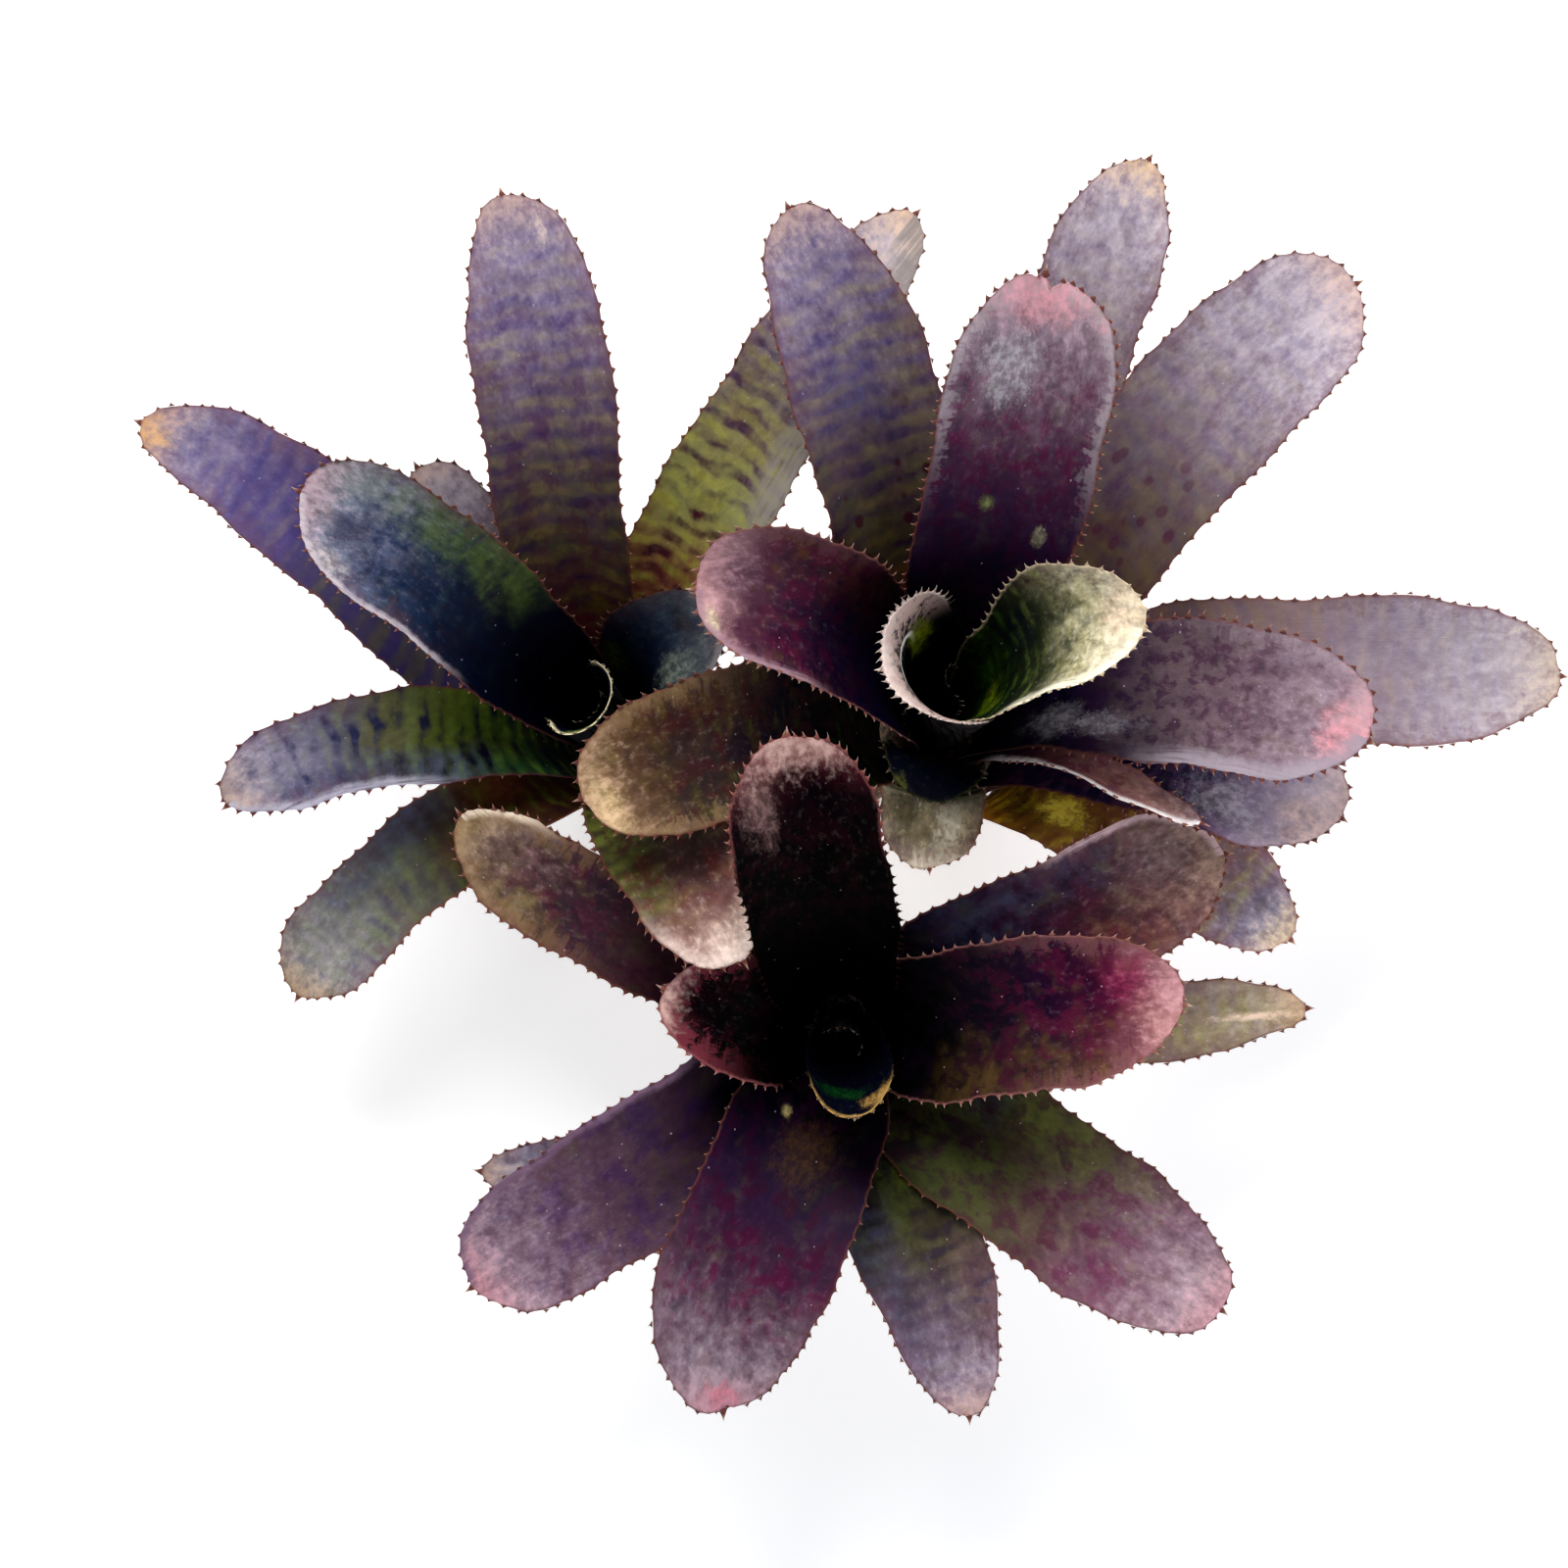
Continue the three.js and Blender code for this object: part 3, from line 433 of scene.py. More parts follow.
class Margin:
    """One side of a blade's outline, from base to tip: its waves, its teeth and its thorns' places."""

    def __init__(self, bent, side, spacing, draw):
        straight = np.linspace(0, bent.length - bent.end, MARGIN_STEPS[0])
        self.side = side
        self.along = np.concatenate([straight, bent.rounded(MARGIN_STEPS[1])])
        self.across = bent.half_width(self.along)
        steps = np.hypot(np.diff(self.along), np.diff(self.across))
        self.runs = np.concatenate([[0], np.cumsum(steps)])
        self.whole = self.runs[-1]
        first = np.interp(FIRST_THORN * bent.length, self.along, self.runs)
        count = max(int((self.whole - first) / spacing), 3)
        places = np.arange(count) + 0.5 + draw.uniform(-THORN_JITTER, THORN_JITTER, count)
        self.thorns = first + places * (self.whole - first) / count
        self.phases = draw.uniform(0, 2 * math.pi, len(OUTLINE_WAVES))

    def swell(self, runs):
        """How far the margin stands out: its waves, and a tooth below each thorn."""
        runs = np.asarray(runs)
        waves = sum(depth * np.sin(runs / pitch + phase)
                    for (depth, pitch), phase in zip(OUTLINE_WAVES, self.phases))
        teeth = TOOTH_HEIGHT * np.exp(-((runs[..., None] - self.thorns) / TOOTH_WIDTH) ** 2).sum(-1)
        grown = smooth(self.thorns[0] - WAVE_START, self.thorns[0], runs)
        return grown * smooth(0, WAVE_END, self.whole - runs) * (waves + teeth)

    def heading(self, runs):
        """The direction of the margin toward the tip, in the flat leaf."""
        ahead, behind = np.minimum(runs + 0.4, self.whole), np.maximum(runs - 0.4, 0)
        return unit(np.stack([np.interp(ahead, self.runs, v) - np.interp(behind, self.runs, v)
                              for v in (self.along, self.across)], -1))

    def bulge(self, runs):
        """The shift of the outline by its waves and teeth: along the leaf, and across it."""
        heading, swell = self.heading(runs), self.swell(runs)
        return -heading[..., 1] * swell, self.side * heading[..., 0] * swell


def nick(bent, along, across):
    """Draws the outline back where the leaf's tip has a notch: its place across, its depth and its width."""
    place, depth, width = bent.leaf["touches"].get("notch", (0, 0, 1))
    near = smooth(bent.length - bent.end, bent.length, along)
    return along - depth * near * np.exp(-((across - place) / width) ** 2)


def blade_faces(rows):
    """A blade's faces. Its upper points come first, row by row, then its inner lower points, then its tip."""
    top = np.arange(rows * LINES).reshape(rows, LINES)
    low = top.copy()
    low[:, 1:-1] = rows * LINES + np.arange(rows * (LINES - 2)).reshape(rows, LINES - 2)
    last = rows * (2 * LINES - 2)
    faces = []
    for i in range(rows - 1):
        for j in range(LINES - 1):
            faces.append((top[i, j], top[i + 1, j], top[i + 1, j + 1], top[i, j + 1]))
            faces.append((low[i, j], low[i, j + 1], low[i + 1, j + 1], low[i + 1, j]))
    for j in range(LINES - 1):
        faces.append((top[-1, j], last, top[-1, j + 1]))
        faces.append((low[-1, j + 1], last, low[-1, j]))
        base = [top[0, j], top[0, j + 1], low[0, j + 1], low[0, j]]
        faces.append(tuple(dict.fromkeys(base)))
    return faces


def add_blade(shells, bent, shape, margins, draw):
    """The blade: two faces that meet along the margin."""
    straight = bent.length - bent.end
    count = math.ceil(straight / STATION_STEP)
    along = np.concatenate([np.linspace(0, straight, count + 1), bent.rounded(END_SECTIONS)[:-1]])
    rows = len(along)
    spread = np.sin(np.linspace(-math.pi / 2, math.pi / 2, LINES))
    phase = draw.uniform(0, 2 * math.pi, 2)
    grid_along = np.repeat(along[:, None], LINES, 1)
    grid_across = bent.half_width(along)[:, None] * spread[None, :]
    rim_runs = []
    for margin in margins:
        runs = np.interp(along, margin.along, margin.runs)
        ahead, aside = margin.bulge(runs)
        reach = np.where(np.sign(spread) == margin.side, np.abs(spread) ** BULGE_REACH, 0)
        grid_along = grid_along + ahead[:, None] * reach
        grid_across = grid_across + aside[:, None] * reach
        rim_runs.append(margin.side * (margin.whole - runs))
    grid_along = nick(bent, grid_along, grid_across)

    free = smooth(*WAVE_SPAN, along / bent.length)[:, None]
    wave = np.sin(2 * math.pi * grid_along / MARGIN_WAVE + phase[0] + WAVE_SHIFT * np.sign(spread))
    rib = np.sin(2 * math.pi * grid_across / RIB_SPACING + phase[1])
    relief = shape.ripple * free * wave * np.abs(spread) ** 4
    relief = relief + shape.rib * rib * (1 - spread ** 4)
    thick = shape.thickness / 2 * np.sqrt(1 - np.abs(spread) ** FLAT_EDGE)
    thick = thick * (0.7 + 0.3 * smooth(0, bent.end, bent.length - along))[:, None]
    upper = bent.place(grid_along, grid_across, relief + thick)
    lower = bent.place(grid_along, grid_across, relief - thick)[:, 1:-1]
    tip = bent.place(*lone(bent.length + 0.3, 0.0, 0.0))

    flat = np.stack([grid_along, grid_across, 0 * grid_along], -1).reshape(-1, 3)
    rim = np.concatenate([flat.reshape(rows, LINES, 3)[:, i, :2] for i in (0, -1)] + [[[bent.length, 0]]])
    gaps = np.hypot(*(flat[:, None, :2] - rim[None]).transpose(2, 0, 1))
    edge = gaps.min(axis=1)
    beside = np.concatenate([*rim_runs, [0]])[gaps.argmin(axis=1)]
    inner = np.zeros((rows, LINES), bool)
    inner[:, 1:-1] = True
    inner = inner.reshape(-1)
    points = np.concatenate([upper.reshape(-1, 3), lower.reshape(-1, 3), tip])
    shells.add(points, blade_faces(rows), {
        "blade_mm": np.concatenate([flat, flat[inner], [[bent.length, 0, 0]]]),
        "edge_mm": np.concatenate([edge, edge[inner], [0]]),
        "margin_mm": np.concatenate([beside, beside[inner], [0]]),
        "upper_face": np.repeat([1.0, 0.0, 0.5], [rows * LINES, rows * (LINES - 2), 1]),
        "thorn": np.zeros(len(points))})


def thorn_shell(base, out, forward, normal, length, hook, foot):
    """One thorn: a flattened cone whose point bends forward. foot is half its width there, and its taper."""
    ring = np.linspace(0, 2 * math.pi, THORN_SIDES, endpoint=False)
    points = []
    for share in THORN_RINGS:
        centre = base + length * (out * share + forward * hook * share ** 2)
        wide = foot[0] * (1 - share) ** foot[1] + THORN_CORE * (1 - share)
        deep = THORN_DEPTH[0] * (1 - share) + THORN_DEPTH[1]
        points.append(centre + wide * np.cos(ring)[:, None] * forward + deep * np.sin(ring)[:, None] * normal)
    points.append([base + length * (out + forward * hook)])
    rings = len(THORN_RINGS)
    faces = [tuple(range(THORN_SIDES - 1, -1, -1))]
    for r in range(rings - 1):
        for i in range(THORN_SIDES):
            j = (i + 1) % THORN_SIDES
            a, b = r * THORN_SIDES, (r + 1) * THORN_SIDES
            faces.append((a + i, a + j, b + j, b + i))
    for i in range(THORN_SIDES):
        a = (rings - 1) * THORN_SIDES
        faces.append((a + i, a + (i + 1) % THORN_SIDES, rings * THORN_SIDES))
    return np.concatenate(points), faces, np.append(np.repeat(THORN_RINGS, THORN_SIDES), 1.0)


def add_margin_thorns(shells, bent, margin, size, draw):
    runs = margin.thorns
    flat_along, flat_across = (np.interp(runs, margin.runs, v) for v in (margin.along, margin.across))
    ahead, aside = margin.bulge(runs)
    heading = margin.heading(runs) * (1, margin.side)
    outward = margin.side * np.stack([-heading[:, 1], heading[:, 0]], -1)
    flat = np.stack([flat_along + ahead, margin.side * flat_across + aside], -1) - THORN_ROOT * outward
    flat[:, 0] = nick(bent, *flat.T)
    at = bent.middle(*flat.T)
    forward = unit(bent.middle(*(flat + 0.3 * heading).T) - at)
    normal = bent.normal(*flat.T)
    out = margin.side * unit(np.cross(normal, forward))
    lengths = size * draw.uniform(*THORN_LENGTHS, len(runs))
    lengths = THORN_ROOT + lengths * smooth(*THORN_FADE, flat[:, 0] / bent.length - FIRST_THORN)
    for k, spot in enumerate(flat):
        points, faces, share = thorn_shell(
            at[k], out[k], forward[k], normal[k], lengths[k], THORN_HOOK, THORN_FOOT)
        if margin.side < 0:
            faces = [face[::-1] for face in faces]
        shells.add_thorn(spot, points, faces, share)


def add_tip_spine(shells, bent):
    at = bent.place(*lone(bent.length - 0.4, 0.0, 0.0))[0]
    ahead = bent.middle(*lone(bent.length + 0.6, 0.0))[0]
    normal = bent.normal(*lone(bent.length, 0.0))[0]
    out = unit(ahead - at)
    aside = unit(np.cross(out, normal))
    spine = thorn_shell(at, out, aside, normal, TIP_SPINE + SPINE_ROOT, SPINE_HOOK, SPINE_FOOT)
    shells.add_thorn((bent.length, 0), *spine)


def leaf_object(name, row, lean, foot, shape, seed):
    bent = BentLeaf(row, lean)
    draw = np.random.default_rng(seed)
    spacing = shape.thorn_spacing * row["touches"].get("thorn_spacing", 1)
    size = shape.thorn_length * row["touches"].get("thorn_length", 1)
    margins = [Margin(bent, side, spacing, draw) for side in (-1, 1)]
    shells = Shells()
    add_blade(shells, bent, shape, margins, draw)
    for margin in margins:
        add_margin_thorns(shells, bent, margin, size, draw)
    add_tip_spine(shells, bent)

    cos, sin = math.cos(bent.azimuth), math.sin(bent.azimuth)
    x, y, z = np.concatenate(shells.points).T
    world = np.stack([foot[0] + cos * x - sin * y, foot[1] + sin * x + cos * y, z], -1) * MM
    mesh = bpy.data.meshes.new(name)
    mesh.from_pydata(world.tolist(), [], shells.faces)
    joined = {key: np.concatenate([marks[key] for marks in shells.marks]) for key in shells.marks[0]}
    joined["along_mm"] = joined["blade_mm"][:, 0].copy()
    joined["share"] = joined["along_mm"] / bent.length
    joined["blade_mm"] = joined["blade_mm"] + (seed * SEED_STEP, 0, 0)
    for key, values in joined.items():
        kind, field = ("FLOAT_VECTOR", "vector") if values.ndim == 2 else ("FLOAT", "value")
        mesh.attributes.new(key, kind, "POINT").data.foreach_set(field, values.ravel())
    mesh.shade_smooth()
    mesh.update()
    return put(name, mesh)


# ---- Materials ----


class Value:
    """What a node puts out. Plain arithmetic on it adds the nodes that work it out."""

    def __init__(self, wires, socket):
        self.wires = wires
        self.socket = socket

    def __add__(self, other):
        return self.wires.maths("ADD", self, other)

    def __sub__(self, number):
        return self + -number

    def __mul__(self, other):
        return self.wires.maths("MULTIPLY", self, other)


class Wires:
    """Builds one material's nodes on the Principled shader."""

    def __init__(self, name):
        self.material = bpy.data.materials.new(name)
        self.material.use_nodes = True
        self.tree = self.material.node_tree
        self.surface = self.tree.nodes["Principled BSDF"]

    def add(self, kind, values=(), output=0, **settings):
        """One output of a new node: values feed its inputs, and settings are its own properties."""
        node = self.tree.nodes.new(kind)
        for key, value in settings.items():
            setattr(node, key, value)
        for key, value in dict(values).items():
            self.feed(node.inputs[key], value)
        return Value(self, node.outputs[output])

    def feed(self, socket, value):
        if isinstance(value, Value):
            self.tree.links.new(value.socket, socket)
        elif socket.type == "RGBA" and len(value) == 3:
            socket.default_value = (*value, 1)
        else:
            socket.default_value = value

    def mark(self, name, output="Fac"):
        """A value that the mesh carries at each point."""
        return self.add("ShaderNodeAttribute", output=output, attribute_name=name)

    def maths(self, operation, a, b=0.0):
        return self.add("ShaderNodeMath", {0: a, 1: b}, operation=operation)

    def stretch(self, vector, x, y, z=1.0):
        return self.add("ShaderNodeVectorMath", {0: vector, 1: (x, y, z)}, operation="MULTIPLY")

    def noise(self, vector, scale=1.0, detail=3.0, roughness=0.5, distortion=0.0):
        values = {"Vector": vector, "Scale": scale, "Detail": detail, "Roughness": roughness,
                  "Distortion": distortion}
        return self.add("ShaderNodeTexNoise", values)

    def span(self, value, low, high, top=1.0):
        """0 at low and top at high, with a soft step between them."""
        values = {"Value": value, "From Min": low, "From Max": high, "To Min": 0.0, "To Max": top}
        return self.add("ShaderNodeMapRange", values, interpolation_type="SMOOTHSTEP")

    def mix(self, factor, a, b):
        return self.add("ShaderNodeMix", {0: factor, 6: a, 7: b}, output=2, data_type="RGBA")

    def ramp(self, value, stops):
        shade = self.add("ShaderNodeValToRGB", {0: value})
        band = shade.socket.node.color_ramp.elements
        while len(band) < len(stops):
            band.new(0.5)
        for element, (place, colour) in zip(band, stops):
            element.position = place
            element.color = (*colour, 1)
        return shade

    def bump(self, height, distance, strength=1.0):
        values = {"Height": height, "Distance": distance, "Strength": strength}
        return self.add("ShaderNodeBump", values)


SEED_STEP = 300          # distance between the stretches of pattern that two leaves use, in millimetres
WANDER = 0.22            # how far the ground colours wander along a leaf, as a share of its length
BAND_STEP = 5.2          # distance between crossbands, in millimetres
BAND_WARP = 9            # how far the crossbands sway, in radians of their comb
FIBRES = (900, 900, 160)  # how fine the bark's fibres are across and up, per metre

# Each pattern's stretch along, across and through the leaf, per millimetre, then its detail and roughness.
PATTERNS = {
    "cloud": ((0.16, 0.2, 5.0), 5, 0.65),
    "grain": ((1.3, 1.7, 7.0), 3, 0.75),
    "crumbs": ((0.4, 0.5, 7.0), 6, 0.66),
    "patches": ((0.1, 0.13, 3.0), 3, 0.5),
    "drift": ((0.05, 0.08, 1.0), 3, 0.5),
    "mottles": ((0.07, 0.1, 2.0), 4, 0.6),
    "warp": ((0.04, 0.11, 3.0), 2, 0.5),
    "speckle": ((0.24, 0.15, 4.0), 5, 0.6),
    "streaks": ((0.06, 1.1, 2.0), 3, 0.6),
    "veins": ((0.09, 2.4, 6.0), 2, 0.5),
}

# What a paint has unless its own row below says otherwise. Ground colours run from base to tip, by share of
# the length. Pattern colours are given in pairs, near the base and near the tip of the leaf.
# A paint's level scales all its colours; on leaves that lie in shade, a level above 1 is painted light.
# The near-black low ends of the ground colours are partly the leaves' own dark bases and partly painted shade
# deep in the rosettes.
COMMON = dict(
    level=1.0, grit=1.0, gloss=0.04, streaks=0.6, specks=0.6, under="8a7c6c",
    mottle=("4c4a20", "8a8a60"), mottles=0.0, mottle_to=0.7,
    band=0.07, band_reach=13, dark=("1c1226", "5c5280"), dark_bands=0.4,
    light=("5a5030", "8c8068"), light_bands=0.2,
    blotch=("2c0a24", "742c52"), blotches=0.3, blotch_size=7, blotch_to=0.85, spots=0.0,
    scurf="c4bac8", bloom=0.5, bloom_from=0.55, blush="c89c84", blush_share=0.6,
    rim="6a3c34", rim_width=0.9, rim_share=0.7, rim_from=0.0,
    hem=("2c1420", "7c5460"), hem_width=5, hem_share=0.35, hem_from=0.5,
    fold=0, fold_tint="d8ccd4", fold_width=3.0, fold_from=0.5,
    thorn_tint="6b3c34", thorn_tip="c9a48c", sides=(), marks=(), crest=None)
FAINT_BANDS = {"band": 0.02, "band_reach": 6}
PAINTS = {
    "violet": dict(
        ground=((0.28, "3c1a1a"), (0.42, "40302c"), (0.56, "503e48"), (0.68, "604e5e"), (0.8, "6c5c74"),
                (0.93, "7c6e8a")),
        grit=0.5, mottle=("3c4418", "6a6450"), mottles=0.4, mottle_to=0.6, band=0.09, band_reach=14,
        dark=("240e30", "4c4078"), dark_bands=0.8, light=("5c4c26", "8c8070"), light_bands=0.7,
        blotch=("380c1e", "54306a"), blotches=0.5, bloom=0.18, blush="c0a08c"),
    "indigo": dict(
        ground=((0.45, "322858"), (0.62, "423868"), (0.76, "5a4f80"), (0.88, "6e6488"), (0.98, "8c7c88")),
        grit=0.4, band_reach=18, dark=("2a2050", "443c78"), dark_bands=0.6, light=("4c4440", "8c8084"),
        light_bands=0.5, blotches=0.1, bloom=0.25, bloom_from=0.7, blush="d4a070"),
    "lilac": dict(
        ground=((0.3, "483028"), (0.45, "5c4a40"), (0.6, "6e6064"), (0.74, "84757f"), (0.86, "9c8e9e"),
                (1.0, "baaab4")),
        grit=0.45, dark=("40304c", "74688e"), dark_bands=0.5, light=("6a5a34", "b0a08a"), light_bands=0.35,
        blotch=("4c1c38", "7c5c84"), blotches=0.35, scurf="ccc2cc", bloom=0.45, blush="d2ac98"),
    "mist": dict(
        ground=((0.3, "8c7272"), (0.5, "8a747c"), (0.7, "8c7c88"), (0.85, "9a8c98"), (1.0, "baaaa8")),
        grit=0.3, dark=("6c5a70", "84789c"), dark_bands=0.35, light=("988068", "b4a48c"), light_bands=0.3,
        blotch=("54303c", "8c6c74"), blotches=0.12, scurf="ccc2cc", bloom=0.35, blush="dcc4a4", rim="7c4c44",
        rim_width=1.2),
    "olive": dict(
        ground=((0.2, "0a1010"), (0.34, "2c3c10"), (0.5, "4a5418"), (0.62, "585638"), (0.72, "5c5a6c"),
                (0.86, "807a90"), (1.0, "b5a9b0")),
        grit=0.7, band=0.09, dark=("04081a", "34365c"), dark_bands=1.05, light=("5c7420", "8c8c70"),
        light_bands=0.45, blotch=("2a0c18", "4c3c5c"), blotches=0.15, bloom=0.3, bloom_from=0.72,
        blush="cca888"),
    "lime": dict(
        ground=((0.25, "7c3c2c"), (0.36, "80683c"), (0.46, "84844c"), (0.58, "78704c"), (0.72, "80707c"),
                (0.85, "9c909c"), (1.0, "c8bcc4")),
        grit=0.6, band=0.1, dark=("381424", "4c4468"), dark_bands=1.0, light=("98983c", "948c64"),
        light_bands=0.7, blotch=("4c1418", "6c4c3c"), blotches=0.25, bloom=0.3, bloom_from=0.75,
        blush="d8b078"),
    "grey": dict(
        ground=((0.22, "30190c"), (0.42, "4a3014"), (0.56, "4a4a3c"), (0.7, "6a6c5e"), (0.84, "7e7c7a"),
                (0.95, "8e8c80")),
        grit=0.6, dark=("200e1c", "4c4e74"), dark_bands=0.6, light=("4c5c18", "84946a"), light_bands=0.5,
        blotches=0.1, bloom=0.3, bloom_from=0.66, blush="d0a870"),
    "bronze": dict(
        ground=((0.3, "6c4c14"), (0.5, "70482c"), (0.66, "684a30"), (0.8, "64504c"), (0.9, "625c6a"),
                (1.0, "a49680")),
        grit=0.6, dark=("2c1408", "3c4064"), dark_bands=0.5, light=("b09a20", "7c7c50"), light_bands=0.7,
        blotches=0.2, bloom=0.3, bloom_from=0.72, blush="c8ac80"),
    "straw": dict(
        ground=((0.4, "5c4638"), (0.6, "786454"), (0.75, "84745a"), (0.88, "968862"), (1.0, "bca67c")),
        grit=0.5, dark=("40303c", "6c6068"), light=("6c6a34", "a09a58"), light_bands=0.5, blotches=0.1,
        bloom=0.2, blush="d8b084"),
    "tan": dict(
        ground=((0.42, "000001"), (0.58, "060212"), (0.68, "241820"), (0.78, "3a2c22"), (0.9, "6a4c34"),
                (1.0, "a8845c")),
        band=0.03, dark=("020108", "2c1c2c"), dark_bands=0.7, light=("22280c", "645c1c"), light_bands=0.7,
        blotch=("140608", "4c2020"), blotches=0.95, scurf="d0b8a4", bloom=0.15, bloom_from=0.8,
        blush="e0b898"),
    "rose": dict(
        ground=((0.45, "2a2418"), (0.62, "3c3226"), (0.74, "5c3c3a"), (0.86, "8c6660"), (0.94, "c8a898"),
                (1.0, "ecd4c4")),
        dark=("0c1008", "4c2c34"), light=("4c5420", "9c7c5c"), light_bands=0.45, blotch=("20080c", "74342e"),
        blotches=0.7, scurf="f0dcd0", bloom_from=0.8, blush="f0d8cc", blush_share=0.8),
    "slate": dict(
        ground=((0.3, "00000e"), (0.5, "010418"), (0.62, "041430"), (0.72, "142848"), (0.82, "36446a"),
                (0.92, "68708c"), (1.0, "a4909c")),
        specks=1.0, band=0.03, dark=("010312", "101e3a"), dark_bands=0.6, light=("041018", "3c5458"),
        light_bands=0.5, blotch=("04020c", "34283c"), blotches=0.4, scurf="b4b4c0", bloom=0.32,
        bloom_from=0.64, blush="ccaab4"),
    "plum": dict(
        ground=((0.3, "010008"), (0.44, "12041e"), (0.55, "2a1232"), (0.66, "40203a"), (0.78, "583c50"),
                (0.9, "7c6472"), (1.0, "bc9ca4")),
        **FAINT_BANDS, grit=0.75, specks=0.9, dark=("040216", "30203e"), dark_bands=0.5,
        light=("2e2814", "7a6c5e"), light_bands=0.4, blotch=("1c021c", "641c46"), blotches=0.85,
        scurf="c4b4c0", bloom=0.34, bloom_from=0.66, blush="d88c96"),
    "mauve": dict(
        ground=((0.24, "04000a"), (0.34, "241c1c"), (0.48, "3c3424"), (0.6, "5a4240"), (0.72, "745060"),
                (0.84, "8e6c7a"), (0.93, "a4868f"), (1.0, "ceacb2")),
        **FAINT_BANDS, grit=0.75, mottle=("3a4216", "7c7458"), mottles=0.7, mottle_to=0.56,
        dark=("0e0418", "5c3c58"), light=("42481a", "9a8070"), light_bands=0.5, blotch=("2c0620", "7c2c58"),
        blotches=0.6, scurf="d0bcc8", bloom=0.3, bloom_from=0.68, blush="dc98a0"),
    "wine": dict(
        ground=((0.34, "010006"), (0.46, "0e021a"), (0.6, "24081e"), (0.72, "3a1c26"), (0.84, "5a3c3e"),
                (0.94, "785652"), (1.0, "9a7c6c")),
        **FAINT_BANDS, specks=0.9, dark=("02000c", "2a1228"), dark_bands=0.6, light=("1c1a10", "6a5c38"),
        light_bands=0.6, blotch=("22021c", "661c38"), blotches=0.7, scurf="b8a098", bloom=0.3,
        bloom_from=0.72, blush="b09078"),
    "dusk": dict(
        ground=((0.25, "01010c"), (0.36, "121018"), (0.5, "34301c"), (0.6, "443e2e"), (0.7, "54464c"),
                (0.82, "745e70"), (0.92, "927a8a"), (1.0, "c0a2a8")),
        grit=0.75, mottle=("444c16", "6c6a48"), mottles=0.8, mottle_to=0.55, dark=("060612", "483a5c"),
        dark_bands=0.7, light=("3e481a", "8a7c78"), light_bands=0.5, blotch=("0c0414", "5c3458"), bloom=0.4,
        bloom_from=0.68),
    "maroon": dict(
        ground=((0.46, "000002"), (0.6, "0c0216"), (0.72, "200424"), (0.85, "480c2c"), (0.95, "844452"),
                (1.0, "c8888a")),
        **FAINT_BANDS, grit=0.7, specks=0.9, dark=("010003", "200618"), dark_bands=0.6,
        light=("0c0604", "6a4a22"), light_bands=0.45, blotch=("0c0210", "5c0c34"), blotches=0.75,
        scurf="c8a4ac", bloom=0.2, bloom_from=0.84, blush="e0a8ac", blush_share=0.5, rim="8c5a54",
        thorn_tint="8c5c50", thorn_tip="e0c0b0"),
    # Near-black over most of the length: partly the leaves' own dark colour, partly painted shade in their
    # channels.
    "black": dict(
        ground=((0.76, "000000"), (0.86, "060106"), (0.93, "26060f"), (0.98, "743838"), (1.0, "c09088")),
        **FAINT_BANDS, grit=0.3, gloss=0.015, streaks=0.1, under="20100c", dark=("000000", "060104"),
        dark_bands=0.5, light=("010000", "3a2018"), light_bands=0.15, blotch=("000000", "340818"),
        scurf="c8a8a4", bloom=0.25, bloom_from=0.9, blush="e8c0b6", blush_share=0.8, rim="8c5050",
        rim_width=1.0, rim_from=0.6, hem=("0c0106", "6c2c38"), hem_width=7, hem_share=0.75, hem_from=0.7,
        thorn_tint="8c5448", thorn_tip="e0c0b0"),
    # Near-black all over: painted shade for the buds and for the leaves that stand deep in the rosettes'
    # tanks.
    "deep_shade": dict(
        ground=((0.3, "000002"), (0.6, "01010a"), (0.85, "020412"), (1.0, "040614")),
        grit=0.1, gloss=0.03, streaks=0.04, specks=0.1, under="020206", dark=("000002", "020208"),
        dark_bands=0.2, light=("020802", "081404"), light_bands=0.3, blotches=0.0, bloom=0.0, blush="08080c",
        rim="0c0a0c", hem_share=0.0, thorn_tint="4c3c34", thorn_tip="a89c84"),
    "cream": dict(
        ground=((0.3, "1c3404"), (0.5, "121c0c"), (0.62, "242c16"), (0.73, "5c5c38"), (0.83, "b0a87c"),
                (0.93, "ecdfbc")),
        under="a8988c", dark=("01020c", "343c20"), dark_bands=0.5, light=("34600a", "a8a060"),
        light_bands=0.6, blotch=("01020c", "38402a"), blotches=0.7, blotch_size=4.5, blotch_to=0.95,
        scurf="f4ead0", bloom_from=0.6, blush="f4dcb8", rim="e0cca8", thorn_tint="b49a80",
        thorn_tip="eadfc8"),
    "pale": dict(
        ground=((0.25, "807a64"), (0.55, "8c8670"), (0.85, "b0a888"), (1.0, "e0d8c0")),
        dark=("3a382c", "6c6650"), light=("a8a080", "d0c8ac"), light_bands=0.4, blotch=("2c281c", "5c5440"),
        bloom=0.3, blush="e6dcc8"),
}


